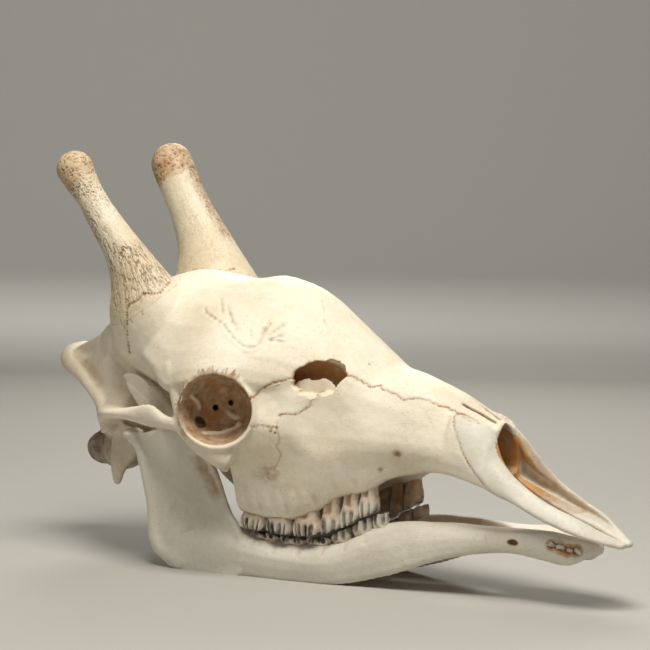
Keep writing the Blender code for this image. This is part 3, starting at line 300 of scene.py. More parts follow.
def curve_value(points, at, column):
    """Smooth curve through given points, read at one place."""
    xs = [point[0] for point in points]
    vs = [point[column] for point in points]
    at = min(max(at, xs[0]), xs[-1])
    last = len(xs) - 1
    slopes = [
        (vs[min(i + 1, last)] - vs[max(i - 1, 0)]) / (xs[min(i + 1, last)] - xs[max(i - 1, 0)])
        for i in range(last + 1)
    ]
    span = min(max(int(np.searchsorted(xs, at)) - 1, 0), last - 1)
    width = xs[span + 1] - xs[span]
    t = (at - xs[span]) / width
    blend = eased(t)
    value = vs[span] * (1 - blend) + vs[span + 1] * blend
    value += width * slopes[span] * t * (1 - t) ** 2
    value -= width * slopes[span + 1] * t * t * (1 - t)
    return value


def spline_points(points, per_span, closed=False):
    """Catmull-Rom points through a list of points of any size."""
    points = [np.asarray(point, float) for point in points]
    count = len(points)
    spans = count if closed else count - 1
    result = []
    for i in range(spans):
        if closed:
            before, start, end, after = (points[(i + k) % count] for k in (-1, 0, 1, 2))
        else:
            before, start = points[max(i - 1, 0)], points[i]
            end, after = points[i + 1], points[min(i + 2, count - 1)]
        for step in range(per_span):
            t = step / per_span
            result.append(
                0.5 * (2 * start + (end - before) * t + (2 * before - 5 * start + 4 * end - after) * t * t
                       + (3 * start - before - 3 * end + after) * t ** 3)
            )
    if not closed:
        result.append(points[-1])
    return result


def link(name, mesh):
    item = bpy.data.objects.new(name, mesh)
    bpy.context.scene.collection.objects.link(item)
    return item


def to_object(name, shape):
    mesh = bpy.data.meshes.new(name)
    shape.to_mesh(mesh)
    shape.free()
    return link(name, mesh)


def mesh_from_rings(name, rings):
    """Closed skin over rings of equal count, with a fan at each end."""
    shape = bmesh.new()
    rows = [[shape.verts.new(Vector(point)) for point in ring] for ring in rings]
    for low, high in zip(rows[:-1], rows[1:]):
        count = len(low)
        for i in range(count):
            shape.faces.new((low[i], low[(i + 1) % count], high[(i + 1) % count], high[i]))
    for row in (rows[0], rows[-1]):
        centre = sum((vertex.co for vertex in row), Vector()) / len(row)
        tip = shape.verts.new(centre)
        for i in range(len(row)):
            shape.faces.new((row[i], row[(i + 1) % len(row)], tip))
    bmesh.ops.recalc_face_normals(shape, faces=shape.faces)
    return to_object(name, shape)


def rounded_end(ring, depth, steps=3):
    """Rings that close a loft's end like a dome, from the end ring outwards."""
    centre = sum(ring) / len(ring)
    result = []
    for step in range(1, steps + 1):
        turn = step / steps * math.radians(80)
        offset = np.array([depth * math.sin(turn), 0, 0])
        result.append([centre + (point - centre) * math.cos(turn) + offset for point in ring])
    return result


def railed_loft(name, rails, stations=24, per_span=3, mirrored=True, ends=(0, 0)):
    """Loft along x whose sections pass through every rail."""
    start = max(rail[0][0] for rail in rails)
    end = min(rail[-1][0] for rail in rails)
    rings = []
    for x in np.linspace(start, end, stations):
        half = [np.array([x, curve_value(rail, x, 1), curve_value(rail, x, 2)]) for rail in rails]
        if mirrored:
            outline = half + [point * np.array([1, -1, 1]) for point in half[-2:0:-1]]
        else:
            outline = [point * np.array([1, -1, 1]) for point in half]
        rings.append(spline_points(outline, per_span, closed=True))
    if ends[0]:
        rings = rounded_end(rings[0], -ends[0])[::-1] + rings
    if ends[1]:
        rings = rings + rounded_end(rings[-1], ends[1])
    return mesh_from_rings(name, rings)


def bar(name, path, sides=20, per_span=6, rounded=True):
    """Bar along a path of (x, y, z, half thickness, half height)."""
    points = spline_points(path, per_span)
    rings = []
    for i, point in enumerate(points):
        ahead = Vector(points[min(i + 1, len(points) - 1)][:3] - points[max(i - 1, 0)][:3]).normalized()
        side = ahead.cross(Vector((0, 0, 1))) if abs(ahead.z) < 0.8 else ahead.cross(Vector((1, 0, 0)))
        side.normalize()
        up = side.cross(ahead)
        ring = []
        for k in range(sides):
            turn = math.tau * k / sides
            offset = side * (math.cos(turn) * point[3]) + up * (math.sin(turn) * point[4])
            ring.append(np.array(Vector(point[:3]) + offset))
        rings.append(ring)
    if rounded:
        centre, last = points[-1][:3], rings[-1]
        reach = float(min(points[-1][3], points[-1][4]))
        for step in range(1, 5):
            turn = math.radians(84) * step / 4
            shift = np.array(ahead) * reach * math.sin(turn)
            rings.append([centre + (p - centre) * math.cos(turn) + shift for p in last])
    return mesh_from_rings(name, rings)


def ellipsoid(name, centre, half_sizes, turn=0.0, segments=40):
    """Ellipsoid, turned about the vertical."""
    shape = bmesh.new()
    bmesh.ops.create_uvsphere(shape, u_segments=segments, v_segments=segments // 2, radius=1.0)
    place = Matrix.Translation(centre) @ Matrix.Rotation(turn, 4, "Z") @ Matrix.Diagonal((*half_sizes, 1))
    bmesh.ops.transform(shape, matrix=place, verts=shape.verts)
    return to_object(name, shape)


def mirrored_copy(source, name):
    """The same form on the other side of the skull."""
    shape = bmesh.new()
    shape.from_mesh(source.data)
    bmesh.ops.transform(shape, matrix=Matrix.Diagonal((1, -1, 1, 1)), verts=shape.verts)
    bmesh.ops.reverse_faces(shape, faces=shape.faces)
    return to_object(name, shape)


def both_sides(item):
    return [item, mirrored_copy(item, item.name + " left")]


def apply_modifiers(item):
    depsgraph = bpy.context.evaluated_depsgraph_get()
    mesh = bpy.data.meshes.new_from_object(item.evaluated_get(depsgraph))
    item.modifiers.clear()
    item.data = mesh


def remove(items):
    for item in items:
        bpy.data.objects.remove(item, do_unlink=True)


def boolean(item, other, operation):
    step = item.modifiers.new("cut", "BOOLEAN")
    step.operation = operation
    step.solver = "MANIFOLD"
    step.object = other
    apply_modifiers(item)


def carve(item, cutters):
    """Takes every cutter out of the item."""
    for cutter in cutters:
        boolean(item, cutter, "DIFFERENCE")
    remove(cutters)


def reskin(item, voxel, smoothing):
    """One even skin of small squares round whatever the item holds."""
    skin = item.modifiers.new("skin", "REMESH")
    skin.mode = "VOXEL"
    skin.voxel_size = voxel
    relax = item.modifiers.new("relax", "SMOOTH")
    relax.factor = 0.5
    relax.iterations = smoothing
    apply_modifiers(item)
    keep_largest(item)


def fuse(name, items, voxel, smoothing=4):
    shape = bmesh.new()
    for item in items:
        shape.from_mesh(item.data)
    whole = to_object(name, shape)
    remove(items)
    reskin(whole, voxel, smoothing)
    return whole


# Mesh numbers as arrays

def points_of(mesh):
    flat = np.empty(len(mesh.vertices) * 3)
    mesh.vertices.foreach_get("co", flat)
    return flat.reshape(-1, 3)


def normals_of(mesh):
    flat = np.empty(len(mesh.vertices) * 3)
    mesh.vertices.foreach_get("normal", flat)
    return flat.reshape(-1, 3)


def edges_of(mesh):
    flat = np.empty(len(mesh.edges) * 2, dtype=np.int32)
    mesh.edges.foreach_get("vertices", flat)
    return flat.reshape(-1, 2)


def move_points(mesh, points):
    mesh.vertices.foreach_set("co", points.ravel())
    mesh.update()


def set_mask(mesh, name, values):
    layer = mesh.attributes.get(name) or mesh.attributes.new(name, "FLOAT", "POINT")
    layer.data.foreach_set("value", np.ascontiguousarray(values, dtype=np.float32))


def get_mask(mesh, name):
    values = np.zeros(len(mesh.vertices), dtype=np.float32)
    if name in mesh.attributes:
        mesh.attributes[name].data.foreach_get("value", values)
    return values


def spread(values, edges, rounds):
    """Each value drawn towards the mean of its neighbours, again and again."""
    count = len(values)
    ends = np.concatenate([edges[:, 0], edges[:, 1]])
    others = np.concatenate([edges[:, 1], edges[:, 0]])
    degree = np.maximum(np.bincount(ends, minlength=count), 1)
    columns = values.reshape(count, -1)
    for _ in range(rounds):
        sums = [np.bincount(ends, weights=column[others], minlength=count) for column in columns.T]
        columns = columns * 0.4 + np.stack([total / degree for total in sums], axis=1) * 0.6
    return columns.reshape(values.shape)


def ramp(values, low, high):
    """Smooth step from 0 at one value to 1 at the other."""
    return eased(np.clip((values - low) / (high - low), 0, 1))


def soften(mesh, weight, rounds):
    """Smooths the skin where the weight is above 0."""
    points, edges = points_of(mesh), edges_of(mesh)
    touched = np.zeros(len(points), dtype=bool)
    touched[edges[(weight[edges] > 0).any(axis=1)].ravel()] = True
    chosen = np.nonzero(touched)[0]
    number = np.full(len(points), -1)
    number[chosen] = np.arange(len(chosen))
    inner = number[edges[touched[edges].all(axis=1)]]
    near, share = points[chosen], weight[chosen, None]
    for _ in range(rounds):
        near = near + (spread(near, inner, 1) - near) * share
    points[chosen] = near
    move_points(mesh, points)


def hollowness(mesh, rounds):
    """How far each point lies below its smoothed surroundings, in metres."""
    points = points_of(mesh)
    return ((spread(points, edges_of(mesh), rounds) - points) * normals_of(mesh)).sum(axis=1)


def keep_largest(item):
    """Keeps the loose part with the most points."""
    mesh = item.data
    edges = edges_of(mesh)
    count = len(mesh.vertices)
    label = np.arange(count)
    while True:
        low = np.minimum(label[edges[:, 0]], label[edges[:, 1]])
        new = label.copy()
        for ends in (edges[:, 0], edges[:, 1]):
            np.minimum.at(new, label[ends], low)
            np.minimum.at(new, ends, low)
        new = new[new]
        if np.array_equal(new, label):
            break
        label = new
    sizes = np.bincount(label, minlength=count)
    loose = np.nonzero(label != sizes.argmax())[0]
    if len(loose):
        shape = bmesh.new()
        shape.from_mesh(mesh)
        shape.verts.ensure_lookup_table()
        bmesh.ops.delete(shape, geom=[shape.verts[i] for i in loose], context="VERTS")
        shape.to_mesh(mesh)
        shape.free()


# Large numbers that scramble the corners of a lattice into random values
SCRAMBLE = (73856093, 19349663, 83492791)
SCRAMBLE_SEED = 2654435
SCRAMBLE_AGAIN = 1274126177


def value_noise(points, size, seed):
    """Smooth noise from -1 to 1 in lumps of the given size."""
    place = points / size + seed * 17.13
    corner = np.floor(place).astype(np.int64)
    part = eased(place - corner)
    total = np.zeros(len(points))
    for step in np.ndindex(2, 2, 2):
        x, y, z = ((corner[:, axis] + step[axis]) * SCRAMBLE[axis] for axis in range(3))
        mixed = x ^ y ^ z ^ (seed * SCRAMBLE_SEED)
        mixed = (mixed ^ (mixed >> 13)) * SCRAMBLE_AGAIN
        value = ((mixed ^ (mixed >> 16)) & 0xFFFF) / 32767.5 - 1
        x, y, z = (part[:, axis] if step[axis] else 1 - part[:, axis] for axis in range(3))
        total += value * (x * y) * z
    return total


def fold(points):
    """The points with their left half laid over the right one."""
    folded = points.copy()
    folded[:, 1] = -np.abs(folded[:, 1])
    return folded


def path_distance(points, path, reach):
    """Distance of every point to a path, and how far along it the nearest place is, from 0 to 1."""
    path = np.asarray(path, float)
    best = np.full(len(points), np.inf)
    along = np.zeros(len(points))
    low, high = path.min(axis=0) - reach, path.max(axis=0) + reach
    near = np.nonzero(((points > low) & (points < high)).all(axis=1))[0]
    spot = points[near]
    nearest = np.full(len(near), np.inf)
    place = np.zeros(len(near))
    for i in range(len(path) - 1):
        start, step = path[i], path[i + 1] - path[i]
        t = np.clip(((spot - start) @ step) / step.dot(step), 0, 1)
        gap = np.linalg.norm(spot - start - t[:, None] * step, axis=1)
        closer = gap < nearest
        nearest[closer] = gap[closer]
        place[closer] = (i + t[closer]) / (len(path) - 1)
    best[near] = nearest
    along[near] = place
    return best, along


# The upper skull

# Opening beside the nose, as (x, z) points of its edge in side view
VACUITY_EDGE = [
    (0.003, 0.191), (0.005, 0.199), (0.012, 0.205), (0.02, 0.208), (0.028, 0.208), (0.037, 0.207),
    (0.046, 0.197), (0.046, 0.193), (0.042, 0.188), (0.04, 0.18), (0.033, 0.177), (0.028, 0.18),
    (0.023, 0.174), (0.015, 0.177), (0.007, 0.181), (0.004, 0.184),
]
# Hollow behind that opening, the piece of the side wall that the opening takes, a thin plate left inside
SINUS = ((0.01, -0.052, 0.19), (0.033, 0.0135, 0.017))
SINUS_TURN = 0.55
WALL_LENS = ((0.021, -0.062, 0.191), (0.036, 0.0125, 0.028))
INNER_PLATE = ((0.015, -0.054, 0.18), (0.0205, 0.0017, 0.0125))

# Eye socket: its hollow, the holes in the hollow's wall, the ledges on it
EYE_BOWL = ((-0.059, -0.112, 0.16), (0.0362, 0.052, 0.0333))
EYE_BOWL_TURN = ORBIT_TURN + 0.1
EYE_BACK = ((-0.086, -0.057, 0.156), (0.026, 0.015, 0.019))
EYE_HOLES = [
    [(-0.086, -0.095, 0.1462, 0.0056, 0.0052), (-0.0895, -0.0905, 0.1456, 0.0052, 0.0046)],
    [(-0.085, -0.075, 0.1575, 0.0024, 0.003), (-0.093, -0.064, 0.156, 0.0022, 0.0025)],
    [(-0.073, -0.067, 0.1625, 0.0022, 0.003), (-0.081, -0.056, 0.161, 0.002, 0.0025)],
]
EYE_LEDGES = [
    [(-0.083, -0.094, 0.136, 0.0012, 0.0014), (-0.078, -0.088, 0.1355, 0.002, 0.0016),
     (-0.073, -0.082, 0.1362, 0.0012, 0.0012), (-0.068, -0.077, 0.138, 0.002, 0.0018),
     (-0.062, -0.074, 0.1405, 0.0012, 0.0014), (-0.058, -0.073, 0.144, 0.0024, 0.0034)],
    [(-0.077, -0.067, 0.154, 0.0012, 0.0016), (-0.072, -0.067, 0.151, 0.0026, 0.0026),
     (-0.066, -0.067, 0.149, 0.0014, 0.0016)],
    [(-0.0945, -0.098, 0.169, 0.0012, 0.0014), (-0.0945, -0.091, 0.1645, 0.0024, 0.0018),
     (-0.094, -0.086, 0.158, 0.0012, 0.0012)],
]

# Far rim of the nose opening, higher than the near one
FAR_RIM = [
    (0.18, 0.021, 0.153, 0.002, 0.0025), (0.19, 0.0225, 0.1455, 0.0022, 0.0035),
    (0.201, 0.0245, 0.132, 0.0022, 0.0045), (0.2105, 0.0255, 0.1195, 0.0022, 0.005),
    (0.222, 0.027, 0.109, 0.0024, 0.0045), (0.234, 0.028, 0.1, 0.0026, 0.0035),
    (0.262, 0.0265, 0.085, 0.003, 0.003),
]

# Rows of points over the temple, from the rear edge to the brow, each from top to bottom
TEMPLE_ROWS = [
    [(-0.262, -0.036, 0.214), (-0.296, -0.029, 0.2), (-0.309, -0.026, 0.184), (-0.296, -0.036, 0.174),
     (-0.268, -0.049, 0.166), (-0.248, -0.058, 0.153), (-0.234, -0.066, 0.136)],
    [(-0.25, -0.04, 0.214), (-0.27, -0.036, 0.198), (-0.276, -0.036, 0.184), (-0.27, -0.04, 0.175),
     (-0.256, -0.05, 0.167), (-0.24, -0.06, 0.154), (-0.224, -0.068, 0.138)],
    [(-0.232, -0.05, 0.216), (-0.242, -0.05, 0.2), (-0.245, -0.05, 0.186), (-0.24, -0.053, 0.176),
     (-0.23, -0.057, 0.166), (-0.218, -0.064, 0.154), (-0.208, -0.072, 0.141)],
    [(-0.207, -0.066, 0.207), (-0.21, -0.06, 0.196), (-0.21, -0.058, 0.184), (-0.208, -0.058, 0.174),
     (-0.204, -0.059, 0.164), (-0.198, -0.062, 0.152), (-0.192, -0.068, 0.142)],
]
# Bone under the skull, between the neck joint and the spur: (centre, half sizes)
SKULL_BASE = ((-0.236, -0.028, 0.102), (0.026, 0.022, 0.021))


def to_middle(name, rows):
    """Solid between a grid of surface points and the middle plane of the skull."""
    fine = np.array([spline_points(row, 5) for row in zip(*[spline_points(row, 5) for row in rows])])
    shape = bmesh.new()
    across, down = fine.shape[:2]
    skin = [[shape.verts.new(point) for point in row] for row in fine]
    core = [[shape.verts.new((point[0], 0.002, point[2])) for point in row] for row in fine]
    for i in range(across - 1):
        for k in range(down - 1):
            shape.faces.new((skin[i][k], skin[i + 1][k], skin[i + 1][k + 1], skin[i][k + 1]))
            shape.faces.new((core[i][k], core[i][k + 1], core[i + 1][k + 1], core[i + 1][k]))
    border = [(i, 0) for i in range(across)] + [(across - 1, k) for k in range(1, down)]
    border += [(i, down - 1) for i in range(across - 2, -1, -1)] + [(0, k) for k in range(down - 2, 0, -1)]
    for (i, k), (m, n) in zip(border, border[1:] + border[:1]):
        shape.faces.new((skin[i][k], core[i][k], core[m][n], skin[m][n]))
    bmesh.ops.recalc_face_normals(shape, faces=shape.faces)
    return to_object(name, shape)


# The nasal cavity, a little narrower than its bone
NOSE_HOLLOW = [
    [(0.08, 0, 0.18), (0.11, 0, 0.183), (0.14, 0, 0.176), (0.17, 0, 0.163), (0.215, 0, 0.15)],
    [(0.08, 0.01, 0.17), (0.11, 0.014, 0.172), (0.14, 0.013, 0.167), (0.17, 0.012, 0.156),
     (0.215, 0.008, 0.14)],
    [(0.08, 0.014, 0.15), (0.11, 0.022, 0.15), (0.14, 0.022, 0.146), (0.17, 0.0195, 0.14),
     (0.19, 0.0185, 0.135), (0.215, 0.02, 0.125)],
    [(0.08, 0.01, 0.13), (0.11, 0.02, 0.124), (0.14, 0.023, 0.121), (0.17, 0.023, 0.117),
     (0.19, 0.023, 0.114), (0.215, 0.022, 0.108)],
    [(0.08, 0, 0.124), (0.11, 0, 0.119), (0.14, 0, 0.117), (0.19, 0, 0.109), (0.215, 0, 0.104)],
]


def orbit_frame():
    """The eye socket's own directions: to the front, up and outwards."""
    along = Vector((math.cos(ORBIT_TURN), math.sin(ORBIT_TURN), 0))
    up = Vector((0, 0, 1))
    return along, up, along.cross(up)


def orbit_spoke(turn):
    """From the middle of the eye socket to its rim, at a turn round it."""
    along, up, _ = orbit_frame()
    return along * (math.cos(turn) * ORBIT_HALF_LENGTH) + up * (math.sin(turn) * ORBIT_HALF_HEIGHT)


def orbit_rim(steps=90, sides=12):
    """Thin lip round the eye socket, thicker above and behind."""
    out = orbit_frame()[2]
    shape = bmesh.new()
    rows = []
    for i in range(steps):
        turn = math.tau * i / steps
        spoke = orbit_spoke(turn)
        direction = spoke.normalized()
        thick = ORBIT_RIM * (0.62 - 0.18 * math.cos(turn - 0.6))
        row = []
        for k in range(sides):
            angle = math.tau * k / sides
            offset = direction * (math.cos(angle) * thick) + out * (math.sin(angle) * thick * 1.4)
            row.append(shape.verts.new(Vector(ORBIT_CENTRE) + spoke + offset))
        rows.append(row)
    for low, high in zip(rows, rows[1:] + rows[:1]):
        for k in range(sides):
            shape.faces.new((low[k], low[(k + 1) % sides], high[(k + 1) % sides], high[k]))
    bmesh.ops.recalc_face_normals(shape, faces=shape.faces)
    return to_object("rim", shape)


def eye_socket_block(steps=60):
    """Flaring bone that carries the rim of the eye socket."""
    along, _, out = orbit_frame()
    spokes = [orbit_spoke(math.tau * i / steps) for i in range(steps)]
    rings = [
        [Vector(ORBIT_CENTRE) + spoke * grow + out * depth + along * ahead for spoke in spokes]
        for depth, grow, ahead in SOCKET_RINGS
    ]
    return mesh_from_rings("socket", rings)


def grown(outline, distance):
    """The outline with every side moved outwards."""
    points = [np.array(point) for point in outline]
    count = len(points)
    area = sum(a[0] * b[1] - b[0] * a[1] for a, b in zip(points, points[1:] + points[:1]))
    outwards = 1 if area > 0 else -1
    result = []
    for i, point in enumerate(points):
        before, after = points[i - 1], points[(i + 1) % count]
        first = (point - before) / np.linalg.norm(point - before)
        second = (after - point) / np.linalg.norm(after - point)
        normal_a = np.array([first[1], -first[0]]) * outwards
        normal_b = np.array([second[1], -second[0]]) * outwards
        corner = (normal_a + normal_b) / max(1 + normal_a.dot(normal_b), 0.3)
        result.append(point + corner * distance)
    return result


def prism(name, outline, y_low, y_high):
    """Solid with a side-view outline, between two distances along y."""
    shape = bmesh.new()
    face = shape.faces.new([shape.verts.new((x, y_low, z)) for x, z in outline])
    swept = bmesh.ops.extrude_face_region(shape, geom=[face])
    moved = [item for item in swept["geom"] if isinstance(item, bmesh.types.BMVert)]
    bmesh.ops.translate(shape, verts=moved, vec=(0, y_high - y_low, 0))
    bmesh.ops.triangulate(shape, faces=shape.faces)
    bmesh.ops.recalc_face_normals(shape, faces=shape.faces)
    return to_object(name, shape)


RAGGED_STEP = 0.0022
RAGGED = 0.0007
# A longer side of a region is a plain cut outside the skull
LONGEST_SUTURE_SIDE = 0.08


def ragged(points, amount, seed, closed=False):
    """A line in side view broken into short steps with a small seeded zigzag."""
    draw = np.random.default_rng(seed)
    result = []
    ends = points[1:] + points[:1] if closed else points[1:]
    for a, b in zip(points, ends):
        a, b = np.array(a), np.array(b)
        length = np.linalg.norm(b - a)
        count = max(1, int(length / RAGGED_STEP)) if length < LONGEST_SUTURE_SIDE else 1
        side = np.array([a[1] - b[1], b[0] - a[0]]) / length
        for i in range(count):
            shift = 0 if i == 0 else draw.uniform(-amount, amount)
            result.append(tuple(a + (b - a) * i / count + side * shift))
    if not closed:
        result.append(tuple(points[-1]))
    return result


def build_cranium():
    """The whole upper skull with its horns, as one form with an even skin."""
    brow = railed_loft("brow", BROW_RAILS, stations=80)
    braincase = railed_loft("case", BRAINCASE_RAILS, stations=60, ends=(0.008, 0))
    face = railed_loft("face", FACE_RAILS, stations=90, ends=(0.004, 0))
    premaxilla = railed_loft("premaxilla", PREMAXILLA_RAILS, stations=90, mirrored=False, ends=(0, 0.004))
    sided = [
        premaxilla, eye_socket_block(), orbit_rim(), bar("arch", ARCH_PATH),
        bar("crest", NUCHAL_PATH, rounded=False), bar("spur", SPUR_PATH), bar("wing", WING_PATH),
        ellipsoid("condyle", *CONDYLE, turn=CONDYLE_TURN), ellipsoid("bulla", *BULLA),
        to_middle("temple", TEMPLE_ROWS), ellipsoid("base", *SKULL_BASE), bar("rear bar", REAR_BAR_PATH),
    ]
    forms = [brow, braincase, face, ellipsoid("torus", *TORUS)]
    forms.append(bar("far rim", FAR_RIM))
    forms += both_sides(ellipsoid("eye socket back", *EYE_BACK, turn=EYE_BOWL_TURN))
    forms.append(bar("right horn", OSSICONE_RIGHT_PATH, sides=36))
    forms.append(bar("left horn", OSSICONE_LEFT_PATH, sides=36))
    for item in sided:
        forms += both_sides(item)
    cranium = fuse("cranium", forms, SKULL_VOXEL, smoothing=8)
    hollows = [
        railed_loft("nose hollow", NOSE_HOLLOW, stations=60), ellipsoid("throat hollow", *THROAT_HOLLOW),
        ellipsoid("neck hole", *NECK_HOLE),
    ]
    opening = prism("vacuity", ragged(VACUITY_EDGE, 0.0012, 5, closed=True), -0.1, -0.03)
    lens = ellipsoid("lens", *WALL_LENS, turn=SINUS_TURN + 0.15)
    boolean(opening, lens, "INTERSECT")
    remove([lens])
    sided = [
        ellipsoid("eye bowl", *EYE_BOWL, turn=EYE_BOWL_TURN), ellipsoid("sinus", *SINUS, turn=SINUS_TURN),
        opening,
    ]
    sided += [bar("eye hole", path) for path in EYE_HOLES]
    for item in sided:
        hollows += both_sides(item)
    carve(cranium, hollows)
    added = both_sides(ellipsoid("inner plate", *INNER_PLATE, turn=SINUS_TURN))
    for path in EYE_LEDGES:
        added += both_sides(bar("ledge", path))
    return fuse("cranium", [cranium] + added, SKULL_VOXEL, smoothing=2)


def horn_cup(name, side, offset, steps=120):
    """Solid bowl over a horn's seat, open space for the horn above it."""
    sided = Vector((1, side, 1))
    centre = Vector(HORN_SEAT) * sided
    axis = (Vector(HORN_LEAN) * sided).normalized()
    across = axis.orthogonal().normalized()
    along = axis.cross(across)
    profile = [
        (radius + offset * 0.7, CUP_RISE * (radius / CUP_RADII[-2]) ** 2 - offset) for radius in CUP_RADII
    ]
    profile.append((CUP_RADII[-1] + offset, CUP_TOP))
    rings = []
    for radius, lift in profile:
        ring = []
        for k in range(steps):
            turn = math.tau * k / steps
            zigzag = 0.0007 * math.sin(turn * 23) + 0.0006 * math.sin(turn * 41 + 1)
            height = axis * (lift + zigzag * (lift < 0.1))
            ring.append(centre + height + (across * math.cos(turn) + along * math.sin(turn)) * radius)
        rings.append(ring)
    return mesh_from_rings(name, rings)


def above_cup(points, side):
    """How far each point lies above that bowl, in the horn's direction."""
    sided = np.array((1, side, 1))
    axis = np.array(HORN_LEAN) / np.linalg.norm(HORN_LEAN) * sided
    gap = points - np.array(HORN_SEAT) * sided
    lift = gap @ axis
    radius = np.linalg.norm(gap - lift[:, None] * axis, axis=1)
    return lift - CUP_RISE * (radius / CUP_RADII[-2]) ** 2


def inside_outline(points, outline):
    """Which points lie inside a side-view outline."""
    inside = np.zeros(len(points), dtype=bool)
    for (ax, az), (bx, bz) in zip(outline, outline[1:] + outline[:1]):
        crossing = (az > points[:, 1]) != (bz > points[:, 1])
        slope = (bx - ax) / (bz - az) if bz != az else 0
        inside ^= crossing & (points[:, 0] < ax + slope * (points[:, 1] - az))
    return inside


# How near a point of a cut lies to the skin that it takes its marks from
WALL_REACH = 0.0016
# The hollow mark is painted shade with grime in hollows; the dark mark is painted shade in holes, pits, slits
# and folds, and near the neck joint partly darker bone
MASKS = ("stain", "hollow", "dark", "seam")


def blend_walls(bones, points, masks):
    """Gives the points that the cuts made the marks of the skin beside them."""
    tree = KDTree(len(points))
    for number, point in enumerate(points):
        tree.insert(point, number)
    tree.balance()
    for bone in bones:
        mesh = bone.data
        cut = np.nonzero(get_mask(mesh, "skin") < 0.98)[0]
        spots = points_of(mesh)[cut]
        found = [tree.find(point) for point in spots]
        nearest = np.array([item[1] for item in found])
        gap = np.array([item[2] for item in found])
        for name in MASKS:
            values = get_mask(mesh, name)
            deep = {"stain": 0.5, "seam": FAR_SEAM}.get(name, 0.0)
            values[cut] = np.where(gap < WALL_REACH, masks[name][nearest], deep)
            set_mask(mesh, name, values)


def split(item, name, inner, outer):
    """Parts the item into what lies inside and outside a solid, a suture's gap apart."""
    inside = link(name, item.data.copy())
    boolean(inside, inner, "INTERSECT")
    boolean(item, outer, "DIFFERENCE")
    remove([inner, outer])
    keep_largest(inside)
    keep_largest(item)
    return inside


def split_region(item, name, outline, y_low=-BEYOND, y_high=BEYOND):
    half = SUTURE_GAP / 2
    inner = prism("inner", grown(outline, -half), y_low + half, y_high - half)
    outer = prism("outer", grown(outline, half), y_low - half, y_high + half)
    return split(item, name, inner, outer)


def split_sides(item, name):
    left = split_region(item, name + "_left", EVERYWHERE, y_low=0)
    return {name + "_left": left, name + "_right": item}


def part_bones(cranium):
    """Parts the skull at its sutures and names the bones."""
    bones = {}
    set_mask(cranium.data, "skin", np.ones(len(cranium.data.vertices)))
    whole = points_of(cranium.data), {name: get_mask(cranium.data, name) for name in MASKS}
    half = SUTURE_GAP / 2
    for name, side in (("ossicone_right", -1), ("ossicone_left", 1)):
        cups = [horn_cup("cup", side, offset) for offset in (-half, half)]
        bones[name] = split(cranium, name, *cups)
    for name, side in (("right", -1), ("left", 1)):
        reach = sorted((side * CHEEK_DEPTH, side * 0.2))
        cheek = split_region(cranium, "zygomatic_" + name, ragged(CHEEK_REGION, RAGGED, 11, True), *reach)
        tear = split_region(cheek, "lacrimal_" + name, ragged(TEAR_REGION, RAGGED, 12, True))
        bones["zygomatic_" + name] = cheek
        bones["lacrimal_" + name] = tear
    front = split_region(cranium, "front", ragged(FRONT_REGION, RAGGED, 13, True))
    bones["braincase"] = cranium
    bones["frontal"] = split_region(front, "frontal", ragged(BROW_REGION, RAGGED, 14, True))
    nasal = split_region(front, "nasal", ragged(NASAL_REGION, RAGGED, 15, True))
    premaxilla = split_region(front, "premaxilla", ragged(PREMAXILLA_REGION, RAGGED, 16, True))
    bones.update(split_sides(nasal, "nasal"))
    bones.update(split_sides(premaxilla, "premaxilla"))
    bones.update(split_sides(front, "maxilla"))
    blend_walls(bones.values(), *whole)
    return bones


# The lower jaw

# Front teeth of the lower jaw, broken off in their sockets: (x, y, z) of each mouth
FRONT_SOCKETS = [(0.2555, -0.0275, 0.0565), (0.263, -0.0262, 0.055), (0.27, -0.0235, 0.0525),
                 (0.276, -0.0195, 0.052)]
SOCKET_SIZE = (0.0043, 0.0046, 0.0034)
MENTAL_HOLE = ((0.215, -0.027, 0.0545), (0.0055, 0.005, 0.0026))


def build_jaw():
    """Right half of the lower jaw."""
    body = railed_loft("jaw body", JAW_RAILS, stations=110, mirrored=False, ends=(0.02, 0.004))
    centre = np.array(RAMUS_CENTRE)
    outline = spline_points([(x, centre[1], z) for x, z in RAMUS_OUTLINE], 6, closed=True)
    rings = []
    for offset in (-0.5, -0.3, 0.3, 0.5):
        inset = 0.0015 if abs(offset) > 0.4 else 0
        ring = []
        for point in outline:
            inward = (centre - point) / np.linalg.norm(centre - point) * inset
            lean = -max(point[0] + 0.15, 0) * RAMUS_FLARE
            lean -= max(point[2] - 0.12, 0) * RAMUS_TUCK
            ring.append(point + inward + np.array([0, offset * RAMUS_THICKNESS - lean, 0]))
        rings.append(ring)
    ramus = mesh_from_rings("ramus", rings)
    condyle = ellipsoid("jaw condyle", *JAW_CONDYLE, turn=0.15)
    rear = bar("ramus rear", RAMUS_REAR_PATH)
    jaw = fuse("mandible_right", [body, ramus, condyle, rear], JAW_VOXEL, smoothing=8)
    spots = points_of(jaw.data)
    blend = ramp(spots[:, 0], -0.172, -0.15) * ramp(spots[:, 0], -0.055, -0.085)
    blend *= ramp(spots[:, 2], 0.105, 0.07) * ramp(spots[:, 2], 0.001, 0.006)
    soften(jaw.data, blend, 90)
    dents = [ellipsoid("socket", place, SOCKET_SIZE, turn=0.5 * i, segments=20)
             for i, place in enumerate(FRONT_SOCKETS)]
    dents.append(bar("socket trough", [(*place, 0.0026, 0.0026 + 0.001 * (i % 2))
                                       for i, place in enumerate(FRONT_SOCKETS)], sides=10))
    dents.append(ellipsoid("mental hole", *MENTAL_HOLE, turn=0.1, segments=24))
    floor = prism("under floor", [(-BEYOND, -BEYOND), (BEYOND, -BEYOND), (BEYOND, 0), (-BEYOND, 0)], -1, 1)
    beside = prism("beside", EVERYWHERE, -SUTURE_GAP / 2, BEYOND)
    carve(jaw, dents + [floor, beside])
    keep_largest(jaw)
    return jaw


